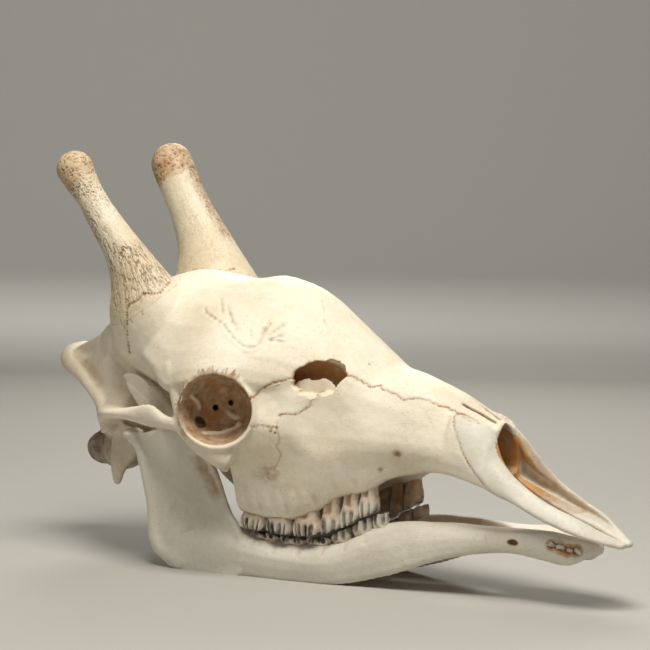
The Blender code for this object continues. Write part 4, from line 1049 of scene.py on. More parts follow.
def broken_root(name, place, side, seed, levels=6, sides=14):
    """Stump of a front tooth, broken off unevenly in its socket."""
    draw = np.random.default_rng(seed)
    foot = np.array(place) + (-0.001, 0.0035, -0.001)
    tip = np.array(place) + (0.001 * (seed - 1), -0.0016 + 0.0008 * (seed % 3), 0.0012)
    rings = []
    for step in range(levels + 1):
        t = step / levels
        centre = foot + (tip - foot) * t
        size = (0.0024 + 0.0006 * (seed % 2)) * (1 - 0.15 * t)
        ring = []
        for k in range(sides):
            turn = math.tau * k / sides
            chip = draw.uniform(-0.002, 0.0014) * (t > 0.9)
            wide = size * (1 + 0.22 * math.sin(2 * turn + seed) + 0.1 * math.sin(5 * turn))
            spot = centre + np.array([math.cos(turn) * wide * 1.2, chip, math.sin(turn) * wide * 0.85])
            ring.append(spot * np.array([1, -side, 1]))
        rings.append(ring)
    return mesh_from_rings(name, rings)


# Ribs on the cheek side of a tooth: (place along the tooth from -1 to 1, strength, breadth)
MOLAR_RIBS = [
    (-0.93, 1.0, 0.15), (-0.47, 0.5, 0.12), (-0.02, 1.0, 0.15), (0.45, 0.5, 0.12), (0.9, 0.9, 0.15),
]
PREMOLAR_RIBS = [(-0.85, 0.8, 0.22), (0.05, 1.0, 0.24), (0.88, 0.7, 0.2)]
# Places of the cusps along a tooth
MOLAR_CUSPS, PREMOLAR_CUSPS = (-0.47, 0.45), (0,)
CROWN_HEIGHT = 0.0195
RIB_RISE = 0.0044
INNER_RISE = 0.0022
FORK_DEPTH = 0.0034
WORN_DISH = 0.0014
# Breadth at the neck of a tooth against its full breadth, and how much it narrows above and below
WAIST, TAPER = 0.84, 0.08
TOOTH_SIDES = 96
TOOTH_LEVELS = 34


def squared(value, power):
    """The sine or cosine of a section that is squarer than an ellipse."""
    return math.copysign(abs(value) ** power, value)


def bump(along, place, breadth):
    """A rounded rise at a place along a tooth."""
    return math.exp(-((along - place) / breadth) ** 2)


def tooth_swell(crown, below):
    """Breadth at one height of the crown, or at a depth below it, against the full breadth."""
    if crown == 0:
        return WAIST - TAPER * min(below / 0.006, 1)
    return WAIST + 0.18 * math.sin(min(crown / 0.6, 1) * math.pi / 2) - TAPER * max(crown - 0.7, 0) / 0.3


def tooth(name, spec, gum, upper, side, seed):
    """One cheek tooth: roots in the bone, a waist, ribs with deep folds between them, worn cusps."""
    x, outer, length, width, lobes = spec
    molar = lobes == 2
    y = outer - width / 2
    away = 1 if upper else -1
    gum_z = curve_value(gum, x, 1)
    neck_z = curve_value(BITE_LINE, x, 1) + away * CROWN_HEIGHT
    neck_z = min(gum_z, neck_z) if upper else max(gum_z, neck_z)
    root_z = gum_z + away * ROOT_DEPTH
    draw = np.random.default_rng(seed + 50)
    ribs = [
        (place + draw.uniform(-0.08, 0.08), strength * draw.uniform(0.72, 1.12),
         breadth * draw.uniform(0.85, 1.45))
        for place, strength, breadth in (MOLAR_RIBS if molar else PREMOLAR_RIBS)
    ]
    pinch = draw.uniform(0.1, 0.3)
    half_length = length / 2 * 1.02
    rings, folds, roots, bite_nearness = [], [], [], []
    for level in range(TOOTH_LEVELS + 1):
        t = level / TOOTH_LEVELS
        ring = []
        for k in range(TOOTH_SIDES):
            turn = math.tau * k / TOOTH_SIDES
            along = squared(math.cos(turn), 0.6)
            across = squared(math.sin(turn), 0.75)
            bite = curve_value(BITE_LINE, x + along * half_length, 1) + away * BITE_GAP
            z = root_z + (bite - root_z) * t
            crown = min(max((z - neck_z) / (bite - neck_z), 0), 1)
            swell = tooth_swell(crown, abs(z - neck_z))
            fork = bump(along, 0, 0.3) * (1 if crown == 0 else max(0, 1 - crown / 0.16))
            rib = max(
                strength * bump(along, place * (1.1 - pinch * crown), breadth * (1.25 - 0.5 * crown))
                for place, strength, breadth in ribs
            )
            rise = eased(min(max((crown - 0.1) / 0.45, 0), 1))
            push = (rib - 0.7) * RIB_RISE * rise if across > 0.15 else 0
            if across < -0.15:
                wave = abs(math.cos(along * math.pi * lobes / 2 + (math.pi / 2 if molar else 0)))
                push = (wave - 0.6) * (INNER_RISE * rise)
            depth = across * width / 2 * swell + math.copysign(1, across) * push
            depth -= FORK_DEPTH * fork * (across > 0)
            cusp = max(bump(along, place, 0.3) for place in (MOLAR_CUSPS if molar else PREMOLAR_CUSPS))
            z += away * CUSP_HEIGHT * (1.0 - cusp) * crown ** 4 * (1.0 if molar else 0.45)
            z += away * WORN_DISH * (abs(across) < 0.45) * crown ** 6
            ring.append((x + along * half_length * swell, side * (y + depth), z))
            shown = min(1, (crown - 0.18) / 0.16) * (crown > 0.18)
            folds.append(max(0.52 - rib, 0) / 0.52 * rise * (across > -0.2) * shown)
            roots.append(0.34 + 0.66 * fork if crown == 0 else max(0, 0.9 * fork, 0.42 - 0.85 * crown))
            bite_nearness.append(crown)
        rings.append(ring)
    piece = mesh_from_rings(name, rings)
    mesh = piece.data
    # The last two points of the mesh are the middles of its ends
    folds, roots, bite_nearness = np.array(folds + [0, 0]), np.array(roots + [0, 0]), np.array(bite_nearness + [0, 1])
    points = points_of(mesh)
    rough = value_noise(points, 0.0022, seed) + 0.5 * value_noise(points, 0.0011, seed + 1)
    move_points(mesh, points + normals_of(mesh) * (rough * 0.0003)[:, None])
    lumps = value_noise(points, 0.004, seed + 2) * 0.5 + 0.5
    # Painted shade: near-black in the folds between the ribs, and darker towards the bite, where the two rows
    # meet
    dark = np.clip(folds * 2.5 - 0.3, 0, 1) + ramp(bite_nearness, 0.82 if upper else 0.4, 1.0) * (0.15 + 0.75 * lumps)
    dark *= (0.72 + 0.4 * lumps) * (1.0 if molar else 0.6)
    set_mask(mesh, "dark", np.clip(dark, 0, 1))
    # The teeth of the far side, seen between the jaws, are painted browner as painted shade
    tan = 0.52 if side > 0 else 0.0
    set_mask(mesh, "stain", np.clip(roots + tan + lumps * 0.16 + (0.1 if molar else 0), 0, 0.8))
    set_mask(mesh, "hollow", np.zeros(len(points)))
    set_mask(mesh, "seam", np.full(len(points), FAR_SEAM))
    return piece


# Marks on the bones: grooves, ridges, pits, stains, painted shade and the course of the sutures

# (line, how thin it is): eye socket to the opening beside the nose, below that opening, beside the nasal
# bones, behind the snout bones, down the cheek, below the eye socket
SUTURES = [
    ([(-0.03, -0.101, 0.17), (-0.027, -0.1, 0.172), (-0.023, -0.09, 0.179), (-0.012, -0.085, 0.186),
      (-0.003, -0.079, 0.189), (0.004, -0.074, 0.191)], 0.75),
    ([(0.026, -0.064, 0.176), (0.023, -0.065, 0.173), (0.022, -0.072, 0.168), (0.019, -0.075, 0.164),
      (0.012, -0.079, 0.159), (0.001, -0.085, 0.158), (-0.004, -0.087, 0.157)], 0.95),
    ([(0.041, -0.049, 0.192), (0.049, -0.048, 0.195), (0.058, -0.045, 0.191), (0.064, -0.043, 0.188),
      (0.069, -0.041, 0.185), (0.075, -0.037, 0.187), (0.079, -0.033, 0.184), (0.093, -0.036, 0.179),
      (0.101, -0.036, 0.175), (0.11, -0.032, 0.177), (0.117, -0.029, 0.177), (0.135, -0.026, 0.172),
      (0.152, -0.023, 0.167), (0.17, -0.02, 0.16)], 1.35),
    ([(0.153, -0.03, 0.166), (0.1545, -0.033, 0.16), (0.157, -0.036, 0.154), (0.164, -0.039, 0.143),
      (0.172, -0.042, 0.128), (0.183, -0.042, 0.115), (0.194, -0.041, 0.103)], 1.5),
    ([(-0.005, -0.088, 0.15), (-0.002, -0.087, 0.135), (-0.005, -0.087, 0.127), (-0.002, -0.084, 0.12),
      (-0.006, -0.083, 0.113), (-0.012, -0.084, 0.104)], 2.0),
    ([(-0.026, -0.1, 0.1455), (-0.018, -0.096, 0.147), (-0.01, -0.091, 0.1465), (-0.004, -0.088, 0.146)],
     1.7),
]
# Slits between the nasal tips
NASAL_SLITS = [
    [(0.15, -0.0135, 0.1745), (0.159, -0.0125, 0.17), (0.166, -0.011, 0.167), (0.175, -0.0095, 0.163),
     (0.186, -0.008, 0.158)],
    [(0.149, 0.001, 0.179), (0.161, 0.001, 0.173), (0.173, -0.001, 0.167), (0.186, -0.002, 0.16)],
]
NASAL_NOTCH = [(0.1535, -0.0345, 0.1625), (0.155, -0.037, 0.157), (0.158, -0.04, 0.151)]
# The shallow dish of the forehead over the eye socket: its raised edge, its middle and the rays from it
DISH_EDGE = [
    (-0.106, -0.067, 0.252), (-0.097, -0.073, 0.245), (-0.074, -0.08, 0.238), (-0.058, -0.087, 0.228),
    (-0.044, -0.088, 0.22), (-0.038, -0.087, 0.218), (-0.032, -0.081, 0.221), (-0.032, -0.069, 0.234),
    (-0.032, -0.061, 0.242),
]
DISH_MIDDLE = (-0.055, -0.066, 0.24)
DISH_SPOKES = [
    [(-0.034, -0.077, 0.228), (-0.035, -0.057, 0.246)], [(-0.029, -0.075, 0.226), (-0.017, -0.05, 0.243)],
    [(-0.027, -0.076, 0.224), (-0.014, -0.062, 0.23)], [(-0.04, -0.082, 0.225), (-0.052, -0.066, 0.243)],
    [(-0.046, -0.084, 0.225), (-0.066, -0.07, 0.244)], [(-0.054, -0.084, 0.231), (-0.078, -0.066, 0.25)],
    [(-0.064, -0.08, 0.237), (-0.084, -0.06, 0.256)], [(-0.079, -0.074, 0.245), (-0.098, -0.052, 0.262)],
    [(-0.025, -0.074, 0.225), (-0.01, -0.066, 0.224)],
]
HUMP_CRACK = [(-0.008, -0.012, 0.262), (-0.005, -0.016, 0.258), (0.001, -0.02, 0.252), (0.004, -0.026, 0.246),
              (0.012, -0.032, 0.237)]
# Small holes of the cheek and brow: (place, radius, depth)
CHEEK_HOLES = [
    ((0.103, -0.048, 0.126), 0.005, 0.003), ((0.085, -0.049, 0.11), 0.0036, 0.0018),
    ((0.058, -0.028, 0.205), 0.0016, 0.0018), ((-0.15, -0.083, 0.232), 0.0022, 0.0016),
]
# Broad dents of the cheek: (place, radius, depth)
CHEEK_DENTS = [
    ((-0.01, -0.09, 0.166), 0.02, 0.0026), ((0.034, -0.066, 0.152), 0.036, 0.0034),
    ((0.004, -0.086, 0.116), 0.026, 0.0018),
]
CHEEK_SWELL = [(0.052, -0.05, 0.176), (0.088, -0.04, 0.167), (0.125, -0.034, 0.158)]
# Small pits along the suture below the eye socket
TEAR_PITS = [
    (-0.026, -0.1, 0.147), (-0.022, -0.0985, 0.146), (-0.019, -0.096, 0.1475), (-0.015, -0.094, 0.146),
    (-0.011, -0.092, 0.1465), (-0.008, -0.091, 0.145), (-0.004, -0.0885, 0.146), (-0.005, -0.089, 0.141),
    (-0.009, -0.0905, 0.1425),
]
ROUGH_PATCH = [
    (-0.054, -0.1, 0.101), (-0.042, -0.095, 0.096), (-0.026, -0.088, 0.098), (-0.015, -0.085, 0.101),
]
# Places along the tooth rows where the bone's edge dips between two teeth
UPPER_DIPS = (-0.033, -0.004, 0.0225, 0.042, 0.059)
LOWER_DIPS = (-0.045, -0.022, 0.004, 0.028, 0.05, 0.069)
HORN_SCRATCHES = [
    [(-0.189, -0.092, 0.236), (-0.185, -0.091, 0.229)], [(-0.183, -0.092, 0.232), (-0.184, -0.092, 0.226)],
    [(-0.176, -0.093, 0.238), (-0.172, -0.093, 0.233)], [(-0.163, -0.091, 0.246), (-0.161, -0.091, 0.241)],
]
TEMPLE_EDGE = [
    (-0.243, -0.048, 0.229), (-0.227, -0.058, 0.219), (-0.207, -0.07, 0.209), (-0.17, -0.087, 0.208),
    (-0.151, -0.092, 0.198), (-0.127, -0.102, 0.183), (-0.114, -0.108, 0.165),
]
TEMPLE_DISH = [
    (-0.236, -0.052, 0.204), (-0.206, -0.064, 0.192), (-0.166, -0.08, 0.188), (-0.138, -0.09, 0.172),
]
# Rows of pits round the foot of each horn
PIT_CHAINS = [
    [(-0.15, -0.064, 0.273), (-0.15, -0.079, 0.264), (-0.161, -0.088, 0.262), (-0.168, -0.092, 0.256),
     (-0.178, -0.094, 0.248), (-0.179, -0.093, 0.236), (-0.181, -0.089, 0.218), (-0.182, -0.085, 0.205)],
    [(-0.193, 0.027, 0.279), (-0.165, 0.034, 0.28), (-0.155, 0.044, 0.281)],
]
CREST_EDGE = [
    (-0.259, -0.036, 0.221), (-0.292, -0.028, 0.209), (-0.314, -0.024, 0.192), (-0.312, -0.028, 0.178),
    (-0.294, -0.04, 0.171), (-0.268, -0.05, 0.163), (-0.248, -0.058, 0.152), (-0.236, -0.067, 0.134),
]
CREST_DISH = [(-0.268, -0.04, 0.206), (-0.288, -0.034, 0.193), (-0.284, -0.04, 0.182), (-0.262, -0.05, 0.174),
              (-0.242, -0.06, 0.162)]
SHELF_PITS = [
    (-0.262, -0.053, 0.168), (-0.256, -0.055, 0.163), (-0.252, -0.057, 0.166), (-0.247, -0.06, 0.158),
    (-0.268, -0.048, 0.171), (-0.24, -0.063, 0.15), (-0.222, -0.066, 0.157),
]
ARCH_LINES = [
    [(-0.184, -0.088, 0.139), (-0.16, -0.099, 0.139), (-0.146, -0.1, 0.138), (-0.128, -0.106, 0.14)],
    [(-0.166, -0.096, 0.15), (-0.158, -0.098, 0.146), (-0.152, -0.1, 0.147)],
    [(-0.132, -0.106, 0.149), (-0.124, -0.108, 0.1445), (-0.116, -0.11, 0.1445)],
]
RAMUS_RECESS = [
    (-0.112, -0.079, 0.116), (-0.099, -0.077, 0.1), (-0.088, -0.077, 0.085), (-0.078, -0.076, 0.07),
]
RAMUS_FRONT = [
    (-0.15, -0.079, 0.164), (-0.126, -0.079, 0.143), (-0.1035, -0.079, 0.121), (-0.088, -0.078, 0.097),
    (-0.0765, -0.078, 0.076), (-0.07, -0.077, 0.058), (-0.06, -0.076, 0.044),
]
RAMUS_REAR = [(-0.17, -0.084, 0.11), (-0.16, -0.084, 0.085), (-0.155, -0.083, 0.055), (-0.151, -0.082, 0.028),
              (-0.14, -0.081, 0.012)]
RAMUS_FLOOR = [(-0.136, -0.083, 0.06), (-0.12, -0.082, 0.05), (-0.112, -0.082, 0.036)]
JAW_CRACK = [(0.1855, -0.027, 0.0625), (0.187, -0.029, 0.0565), (0.189, -0.0285, 0.051)]


class Skin:
    """A bone's surface as arrays, with the marks made on it so far."""

    def __init__(self, mesh):
        self.mesh = mesh
        self.points = points_of(mesh)
        self.normals = normals_of(mesh)
        self.spots = fold(self.points)
        self.masks = {name: np.zeros(len(self.points)) for name in ("stain", "hollow", "dark")}
        self.seam = np.full(len(self.points), FAR_SEAM)
        self.lift = np.zeros(len(self.points))
        self.wander = value_noise(self.points, 0.0035, 21)
        self.lumps = value_noise(self.points, 0.009, 6)
        self.sideways = self.normals[:, 1] * np.sign(self.points[:, 1])
        self.outer = ramp(self.sideways, 0.15, 0.5)

    def mark(self, name, share):
        self.masks[name] = np.maximum(self.masks[name], share)

    def stroke(self, path, width, depth, stain=0.0, dark=0.0, wander=0.0, ends=0.12, flat=False):
        """A groove, or a ridge where the depth is below 0, along a path, or beside it in side view."""
        keep = np.array((1, 0, 1)) if flat else np.ones(3)
        gap, along = path_distance(self.spots * keep, np.array(spline_points(path, 4)) * keep, width * 2.2)
        gap = np.abs(gap + self.wander * wander)
        body = ramp(gap, width, 0)
        if ends:
            body = body * ramp(along, 0, ends) * ramp(along, 1, 1 - ends)
        if flat:
            body = body * self.outer
        self.lift -= depth * body
        self.mark("stain", stain * body)
        self.mark("dark", dark * body)

    def pit(self, place, radius, depth, stain=0.6, dark=0.8):
        gap = np.linalg.norm(self.spots - np.array(place), axis=1)
        body = ramp(gap, radius, radius * 0.25)
        self.lift -= depth * body
        self.mark("stain", stain * ramp(gap, radius * 1.5, radius * 0.7))
        # The middle of the pit is painted dark as painted shade
        self.mark("dark", dark * ramp(gap, radius * 0.75, radius * 0.3))

    def dent(self, place, radius, depth):
        self.pit(place, radius, depth, stain=0, dark=0)

    def suture(self, path, weight, seed, depth=0.0005, reach=0.014):
        """A ragged line: keeps the distance to it in side view, in millimetres, and sinks it a little."""
        path = np.array(spline_points(path, 5))
        draw = np.random.default_rng(seed)
        path[:, [0, 2]] += draw.uniform(-RAGGED, RAGGED, (len(path), 2))
        flat, beside = self.spots * (1, 0, 1), path * (1, 0, 1)
        nearest, along = path_distance(flat, beside, reach)
        aside = np.interp(along, np.linspace(0, 1, len(path)), path[:, 1])
        nearest = np.where(np.abs(self.spots[:, 1] - aside) < reach, nearest, 1)
        fade = 1 + 2.5 * (1 - ramp(along, 0, 0.06) * ramp(along, 1, 0.94))
        self.seam = np.minimum(self.seam, np.minimum(nearest * 1000 * weight * fade, FAR_SEAM))
        self.lift -= depth * ramp(nearest, 0.0016, 0)

    def finish(self):
        points = self.points + self.normals * self.lift[:, None]
        move_points(self.mesh, points)
        # Painted shade with grime: the colour darkens where the skin lies below its smoothed surroundings
        dip = hollowness(self.mesh, 12)
        self.mark("hollow", np.clip(dip / 0.0013, 0, 1) ** 1.5 * 0.55)
        for name, share in self.masks.items():
            set_mask(self.mesh, name, np.clip(share, 0, 1))
        set_mask(self.mesh, "seam", self.seam)


# Lower edge of the nasal bones, seen from the side: (x, z)
NOSE_ROOF = [(0.1, 0.183), (0.14, 0.172), (0.17, 0.158), (0.19, 0.146), (0.21, 0.114), (0.25, 0.092),
             (0.31, 0.064)]
ORBIT_NOISE_RADIUS = 0.037
# Direction in which the rim's spikes are longest, up and to the back
SPIKES_TURN = math.radians(135)
# How much of the stain a ledge or plate inside a hollow is free of
PALER = 0.85
# Direction, seen from above, in which the opening beside the nose looks
OPENING_FACES = np.array((0.61, -0.79, 0.0))


def mark_eye_socket(skin):
    """Brown bowl, holes painted dark as painted shade, and the spiky grooves on the rim above and behind it.
    """
    along, up, out = (np.array(axis) for axis in orbit_frame())
    gap = skin.spots - np.array(ORBIT_CENTRE)
    ahead, over, depth = gap @ along / ORBIT_HALF_LENGTH, gap @ up / ORBIT_HALF_HEIGHT, gap @ out
    across = np.hypot(ahead, over)
    turn = np.arctan2(over, ahead)
    circle = np.stack([np.cos(turn), np.sin(turn), np.zeros(len(turn))], axis=1) * ORBIT_NOISE_RADIUS
    spikes = value_noise(circle, 0.0011, 31) * 0.6 + value_noise(circle, 0.0024, 32) * 0.5
    above = ramp(np.cos(turn - SPIKES_TURN), -0.1, 0.35) * (depth > -0.024)
    length = 0.1 + 0.19 * np.clip(spikes, -0.3, 1)
    rays = ramp(across, 1.0 + length + 0.03, 1.0 + length - 0.02) * ramp(across, 0.9, 0.97) * above
    skin.mark("stain", rays * (0.62 + 0.35 * np.clip(spikes, -0.5, 1)))
    skin.lift -= 0.0007 * above * ramp(across, 1.26, 1.02) * np.clip(spikes, 0, 1)
    inside = ramp(across, 1.0, 0.955) * ramp(depth, 0.0015, -0.0025) * (depth > -0.085)
    lumps = value_noise(skin.points, 0.011, 3)
    skin.mark("stain", inside * (0.79 + 0.12 * lumps))
    # Painted shade: the holes in the bowl are shallow and painted dark
    for path in EYE_HOLES:
        size = path[0][3]
        distance, place = path_distance(skin.spots, [point[:3] for point in path], 0.01)
        skin.mark("dark", ramp(distance, size * 1.35, size * 1.05) * ramp(place, 0.05, 0.3))
    for path in EYE_LEDGES:
        distance, _ = path_distance(skin.spots, [point[:3] for point in path], 0.004)
        skin.masks["stain"] *= 1 - PALER * ramp(distance, 0.0036, 0.0018)


def mark_vacuity(skin, lumps):
    """Brown hollow inside the opening beside the nose, with a pale plate in it."""
    centre, half = (np.array(row) for row in SINUS)
    spots = skin.spots
    ahead = np.array((math.cos(SINUS_TURN), math.sin(SINUS_TURN), 0))
    beside = np.array((-math.sin(SINUS_TURN), math.cos(SINUS_TURN), 0))
    gap = spots - centre
    inner = (gap @ ahead / half[0]) ** 2 + (gap @ beside / half[1]) ** 2 + (gap[:, 2] / half[2]) ** 2
    near = ramp(np.sqrt(inner), 1.16, 1.06)
    wall = inside_outline(spots[:, [0, 2]], [tuple(point) for point in grown(VACUITY_EDGE, 0.0006)])
    facing = skin.normals.copy()
    facing[:, 1] *= np.where(skin.points[:, 1] > 0, -1, 1)
    wall &= (spots - np.array(WALL_LENS[0])) @ -OPENING_FACES > -0.006
    wall &= facing @ OPENING_FACES < 0.6
    near = np.maximum(near, wall) * (spots[:, 1] > -0.083) * ramp(skin.normals[:, 2], 0.72, 0.45)
    skin.mark("stain", near * (0.93 + 0.07 * lumps))
    plate, size = (np.array(row) for row in INNER_PLATE)
    gap = spots - plate
    on_plate = ramp(np.hypot(gap @ ahead / size[0], gap[:, 2] / size[2]), 1.12, 0.92)
    on_plate *= ramp(np.abs(gap @ beside), 0.0045, 0.003)
    skin.masks["stain"] *= 1 - PALER * on_plate


def mark_nose(skin, lumps):
    """Brown inside of the nose, lighter along the rim of its opening."""
    x, y, z = skin.spots.T
    nose = (x > 0.1) & (np.abs(y) < 0.0245) & (z < np.interp(x, *zip(*NOSE_ROOF)))
    nose &= (z > 0.08) & (skin.sideways < 0.3)
    rim = (x > 0.17) & (x < 0.262) & (np.abs(y) < 0.034) & (z > 0.08) & (skin.sideways < -0.35)
    skin.mark("stain", rim * (0.4 + 0.2 * lumps))
    skin.mark("stain", nose * (0.34 + 0.62 * ramp(x, 0.262, 0.205) + 0.1 * lumps))


def mark_forehead(skin):
    """The dish with its edge and rays, the crack over the hump, small holes and scratches."""
    skin.dent(DISH_MIDDLE, 0.04, 0.0022)
    skin.stroke([(x, y, z - 0.003) for x, y, z in DISH_EDGE], 0.005, -0.001)
    skin.stroke(DISH_EDGE, 0.0028, 0.0017, stain=0.15, wander=0.0014, ends=0.05)
    for path in DISH_SPOKES:
        skin.stroke(path, 0.0026, 0.0015, stain=0.05, wander=0.001, ends=0.3)
    skin.stroke(HUMP_CRACK, 0.0014, 0.0005, stain=0.35, wander=0.0012)
    for place, radius, depth in CHEEK_HOLES:
        skin.pit(place, radius * 0.85, depth, stain=0.44, dark=0.0 if radius > 0.003 else 0.5)
    for place in TEAR_PITS:
        skin.pit(place, 0.0013, 0.0008, stain=0.75, dark=0.6)
    for path in HORN_SCRATCHES:
        skin.stroke(path, 0.0014, 0.0006, stain=0.5, dark=0.4)


def mark_temple(skin):
    """Ridge over the temple, hollow below it, raised edge of the crest, lines on the arch."""
    skin.stroke(TEMPLE_EDGE, 0.011, -0.0005)
    skin.stroke(TEMPLE_DISH, 0.019, 0.003, stain=0.14)
    skin.stroke(CREST_EDGE, 0.006, -0.0003)
    skin.stroke(CREST_DISH, 0.012, 0.0026, stain=0.16)
    for place in SHELF_PITS:
        skin.pit(place, 0.0018, 0.0009, stain=0.6, dark=0.5)
    for path in ARCH_LINES:
        skin.stroke(path, 0.0016, 0.0007, stain=0.42, wander=0.001)


def mark_tooth_rows(skin, dips, gum, rise, width, depth, stain, ends, y):
    """Dips in the edge of the bone between two teeth, each running away from the bite."""
    for x in dips:
        height = curve_value(gum, x, 1)
        path = [(x, y, height), (x, y - 0.003, height + rise)]
        skin.stroke(path, width, depth, stain=stain, ends=ends, flat=True)


def mark_cheek(skin):
    """Rough patch, soft ridges over the roots of the molars, dips between the teeth."""
    gap, _ = path_distance(skin.spots, ROUGH_PATCH, 0.03)
    rough = ramp(gap, 0.013, 0.004)
    skin.lift += rough * 0.0009 * (value_noise(skin.points, 0.0034, 8) + value_noise(skin.points, 0.0018, 9))
    skin.mark("stain", rough * np.clip(0.36 + 0.22 * skin.lumps, 0, 1))
    for x, outer, length, _, lobes in UPPER_TEETH[:4]:
        for shift in ((-0.25, 0.25) if lobes == 2 else (0,)):
            foot = x + shift * length
            root = [(foot, -outer - 0.004, 0.06), (foot - 0.002, -outer - 0.009, 0.09)]
            skin.stroke(root, 0.008, -0.001, ends=0.45, flat=True)
    mark_tooth_rows(skin, UPPER_DIPS, UPPER_GUM, 0.013, 0.0042, 0.0007, 0.12, 0.45, -0.069)


def mark_skull_base(skin):
    """Painted shade with browner bone round the neck joint, below the skull and in the temple."""
    x, y, z = skin.spots.T
    base = ramp(x, -0.18, -0.205) * ramp(z, 0.128, 0.112)
    ball = np.linalg.norm((skin.spots - np.array(CONDYLE[0])) / 0.025, axis=1)
    skin.mark("stain", base * (0.32 + 0.12 * skin.lumps) + ramp(ball, 1.45, 0.9) * 0.16)
    rear_bone = base * (np.abs(y) < 0.052)
    skin.mark("dark", np.maximum(ramp(ball, 1.4, 0.9) * 0.66, rear_bone * 0.34))
    temple = ramp(x, -0.15, -0.172) * ramp(z, 0.214, 0.196) * (np.abs(y) < 0.082)
    skin.mark("stain", temple * (0.15 + 0.08 * skin.lumps))
    # Painted shade: surfaces facing down are stained darker
    under = ramp(-skin.normals[:, 2], 0.5, 0.95) * (z < 0.13)
    skin.mark("stain", under * (0.2 + 0.14 * skin.lumps))


def mark_pit_chains(skin):
    """Rows of pits round the foot of each horn, stained and painted dark inside as painted shade."""
    for path in PIT_CHAINS:
        own = skin.points if path[0][1] > 0 else skin.spots
        for number, place in enumerate(spline_points(path, 5)):
            gap = np.linalg.norm(own - place - (0, 0, 0.0007 * math.sin(number * 7)), axis=1)
            body = ramp(gap, 0.0015 + 0.0005 * (number % 3), 0.0004)
            skin.lift -= 0.0009 * body
            skin.mark("stain", 0.7 * body)
            skin.mark("dark", 0.55 * body)


def mark_sutures(skin):
    """Distance to the nearest suture, those round the horns included."""
    for seed, (path, weight) in enumerate(SUTURES):
        skin.suture(path, weight, seed)
    for side in (-1, 1):
        cup = above_cup(skin.points, side) * 0.8
        own = skin.points[:, 1] * side > -0.004
        skin.seam = np.where(own, np.minimum(skin.seam, np.abs(cup) * 1000 * 3.2 + 0.25), skin.seam)


def mark_cranium(mesh):
    skin = Skin(mesh)
    mark_eye_socket(skin)
    patches = value_noise(skin.points, 0.008, 4)
    mark_vacuity(skin, patches)
    mark_nose(skin, patches)
    mark_forehead(skin)
    for place, radius, depth in CHEEK_DENTS:
        skin.dent(place, radius, depth)
    skin.stroke(CHEEK_SWELL, 0.012, -0.0009, ends=0.3)
    mark_temple(skin)
    mark_cheek(skin)
    # The slits and the notch are stained and painted dark inside as painted shade
    for path in NASAL_SLITS:
        skin.stroke(path, 0.0021, 0.0032, stain=0.9, dark=0.75, ends=0.1)
    skin.stroke(NASAL_NOTCH, 0.002, 0.0016, stain=0.8, dark=0.55)
    mark_skull_base(skin)
    skin.lift += unevenness(skin.points, 0.00016, 0.016)
    mark_pit_chains(skin)
    mark_sutures(skin)
    skin.finish()


def unevenness(points, fine, broad_size):
    """The slight waviness of bone, as a height."""
    return fine * value_noise(points, 0.005, 13) + 0.00022 * value_noise(points, broad_size, 14)


def mark_jaw(mesh):
    skin = Skin(mesh)
    spots, lumps = skin.spots, skin.lumps
    # The recess in front of the ramus is stained brown, partly as painted shade
    skin.stroke(RAMUS_RECESS, 0.0105, 0.003, stain=0.72, wander=0.0015, ends=0.25, flat=True)
    skin.stroke(RAMUS_FRONT, 0.005, -0.0013, flat=True)
    skin.stroke(RAMUS_REAR, 0.008, -0.0012, flat=True)
    skin.stroke(RAMUS_FLOOR, 0.016, 0.0018, stain=0.12, flat=True)
    skin.stroke(JAW_CRACK, 0.0011, 0.0004, stain=0.4, wander=0.001)
    hole, size = (np.array(row) for row in MENTAL_HOLE)
    gap = np.linalg.norm((spots - hole) / size, axis=1)
    skin.mark("stain", ramp(gap, 1.25, 1.0) * 0.85)
    # Painted shade: the inside of the hole beside the chin is painted dark
    skin.mark("dark", ramp(gap, 1.1, 0.8) * (spots[:, 1] > -0.0275) * 0.7)
    for place in FRONT_SOCKETS:
        gap = np.linalg.norm(spots - np.array(place), axis=1)
        skin.mark("stain", ramp(gap + 0.0015 * lumps, 0.0074, 0.0046) * 0.92)
    lip, _ = path_distance(spots, FRONT_SOCKETS, 0.02)
    skin.lift += ramp(lip, 0.01, 0.004) * 0.0008 * value_noise(skin.points, 0.0024, 17)
    mark_tooth_rows(skin, LOWER_DIPS, LOWER_GUM, -0.01, 0.0036, 0.0006, 0.14, 0.3, -0.066)
    # Painted shade: the inner faces near the front, between the two halves of the jaw, are stained browner
    inner = ramp(skin.normals[:, 1], 0.2, 0.7) * ramp(spots[:, 0], 0.075, 0.095)
    inner *= ramp(spots[:, 2], 0.036, 0.05)
    skin.mark("stain", inner * (0.42 + 0.15 * lumps))
    # Painted shade: surfaces facing down are stained darker
    under = ramp(-skin.normals[:, 2], 0.4, 0.9)
    skin.mark("stain", under * 0.12)
    # The top of the ramus, tucked behind the arch by the neck joint, is browner: partly painted shade, partly
    # stained bone
    skin.mark("stain", ramp(spots[:, 2], 0.118, 0.15) * (0.24 + 0.1 * lumps))
    # The flat that the skull rests on stays flat
    level = spots[:, 2] > 0.0025
    skin.lift = np.where(level, skin.lift + unevenness(skin.points, 0.00014, 0.015), 0)
    skin.finish()


# Finishes

def node_group(name, inputs, outputs):
    """An empty shader group with named sockets: (kind, default) for each input, a kind for each output."""
    tree = bpy.data.node_groups.new(name, "ShaderNodeTree")
    for label, (kind, default) in inputs.items():
        socket = tree.interface.new_socket(name=label, in_out="INPUT", socket_type="NodeSocket" + kind)
        if default is not None:
            socket.default_value = default
    for label, kind in outputs.items():
        tree.interface.new_socket(name=label, in_out="OUTPUT", socket_type="NodeSocket" + kind)
    return tree, tree.nodes.new("NodeGroupInput"), tree.nodes.new("NodeGroupOutput")


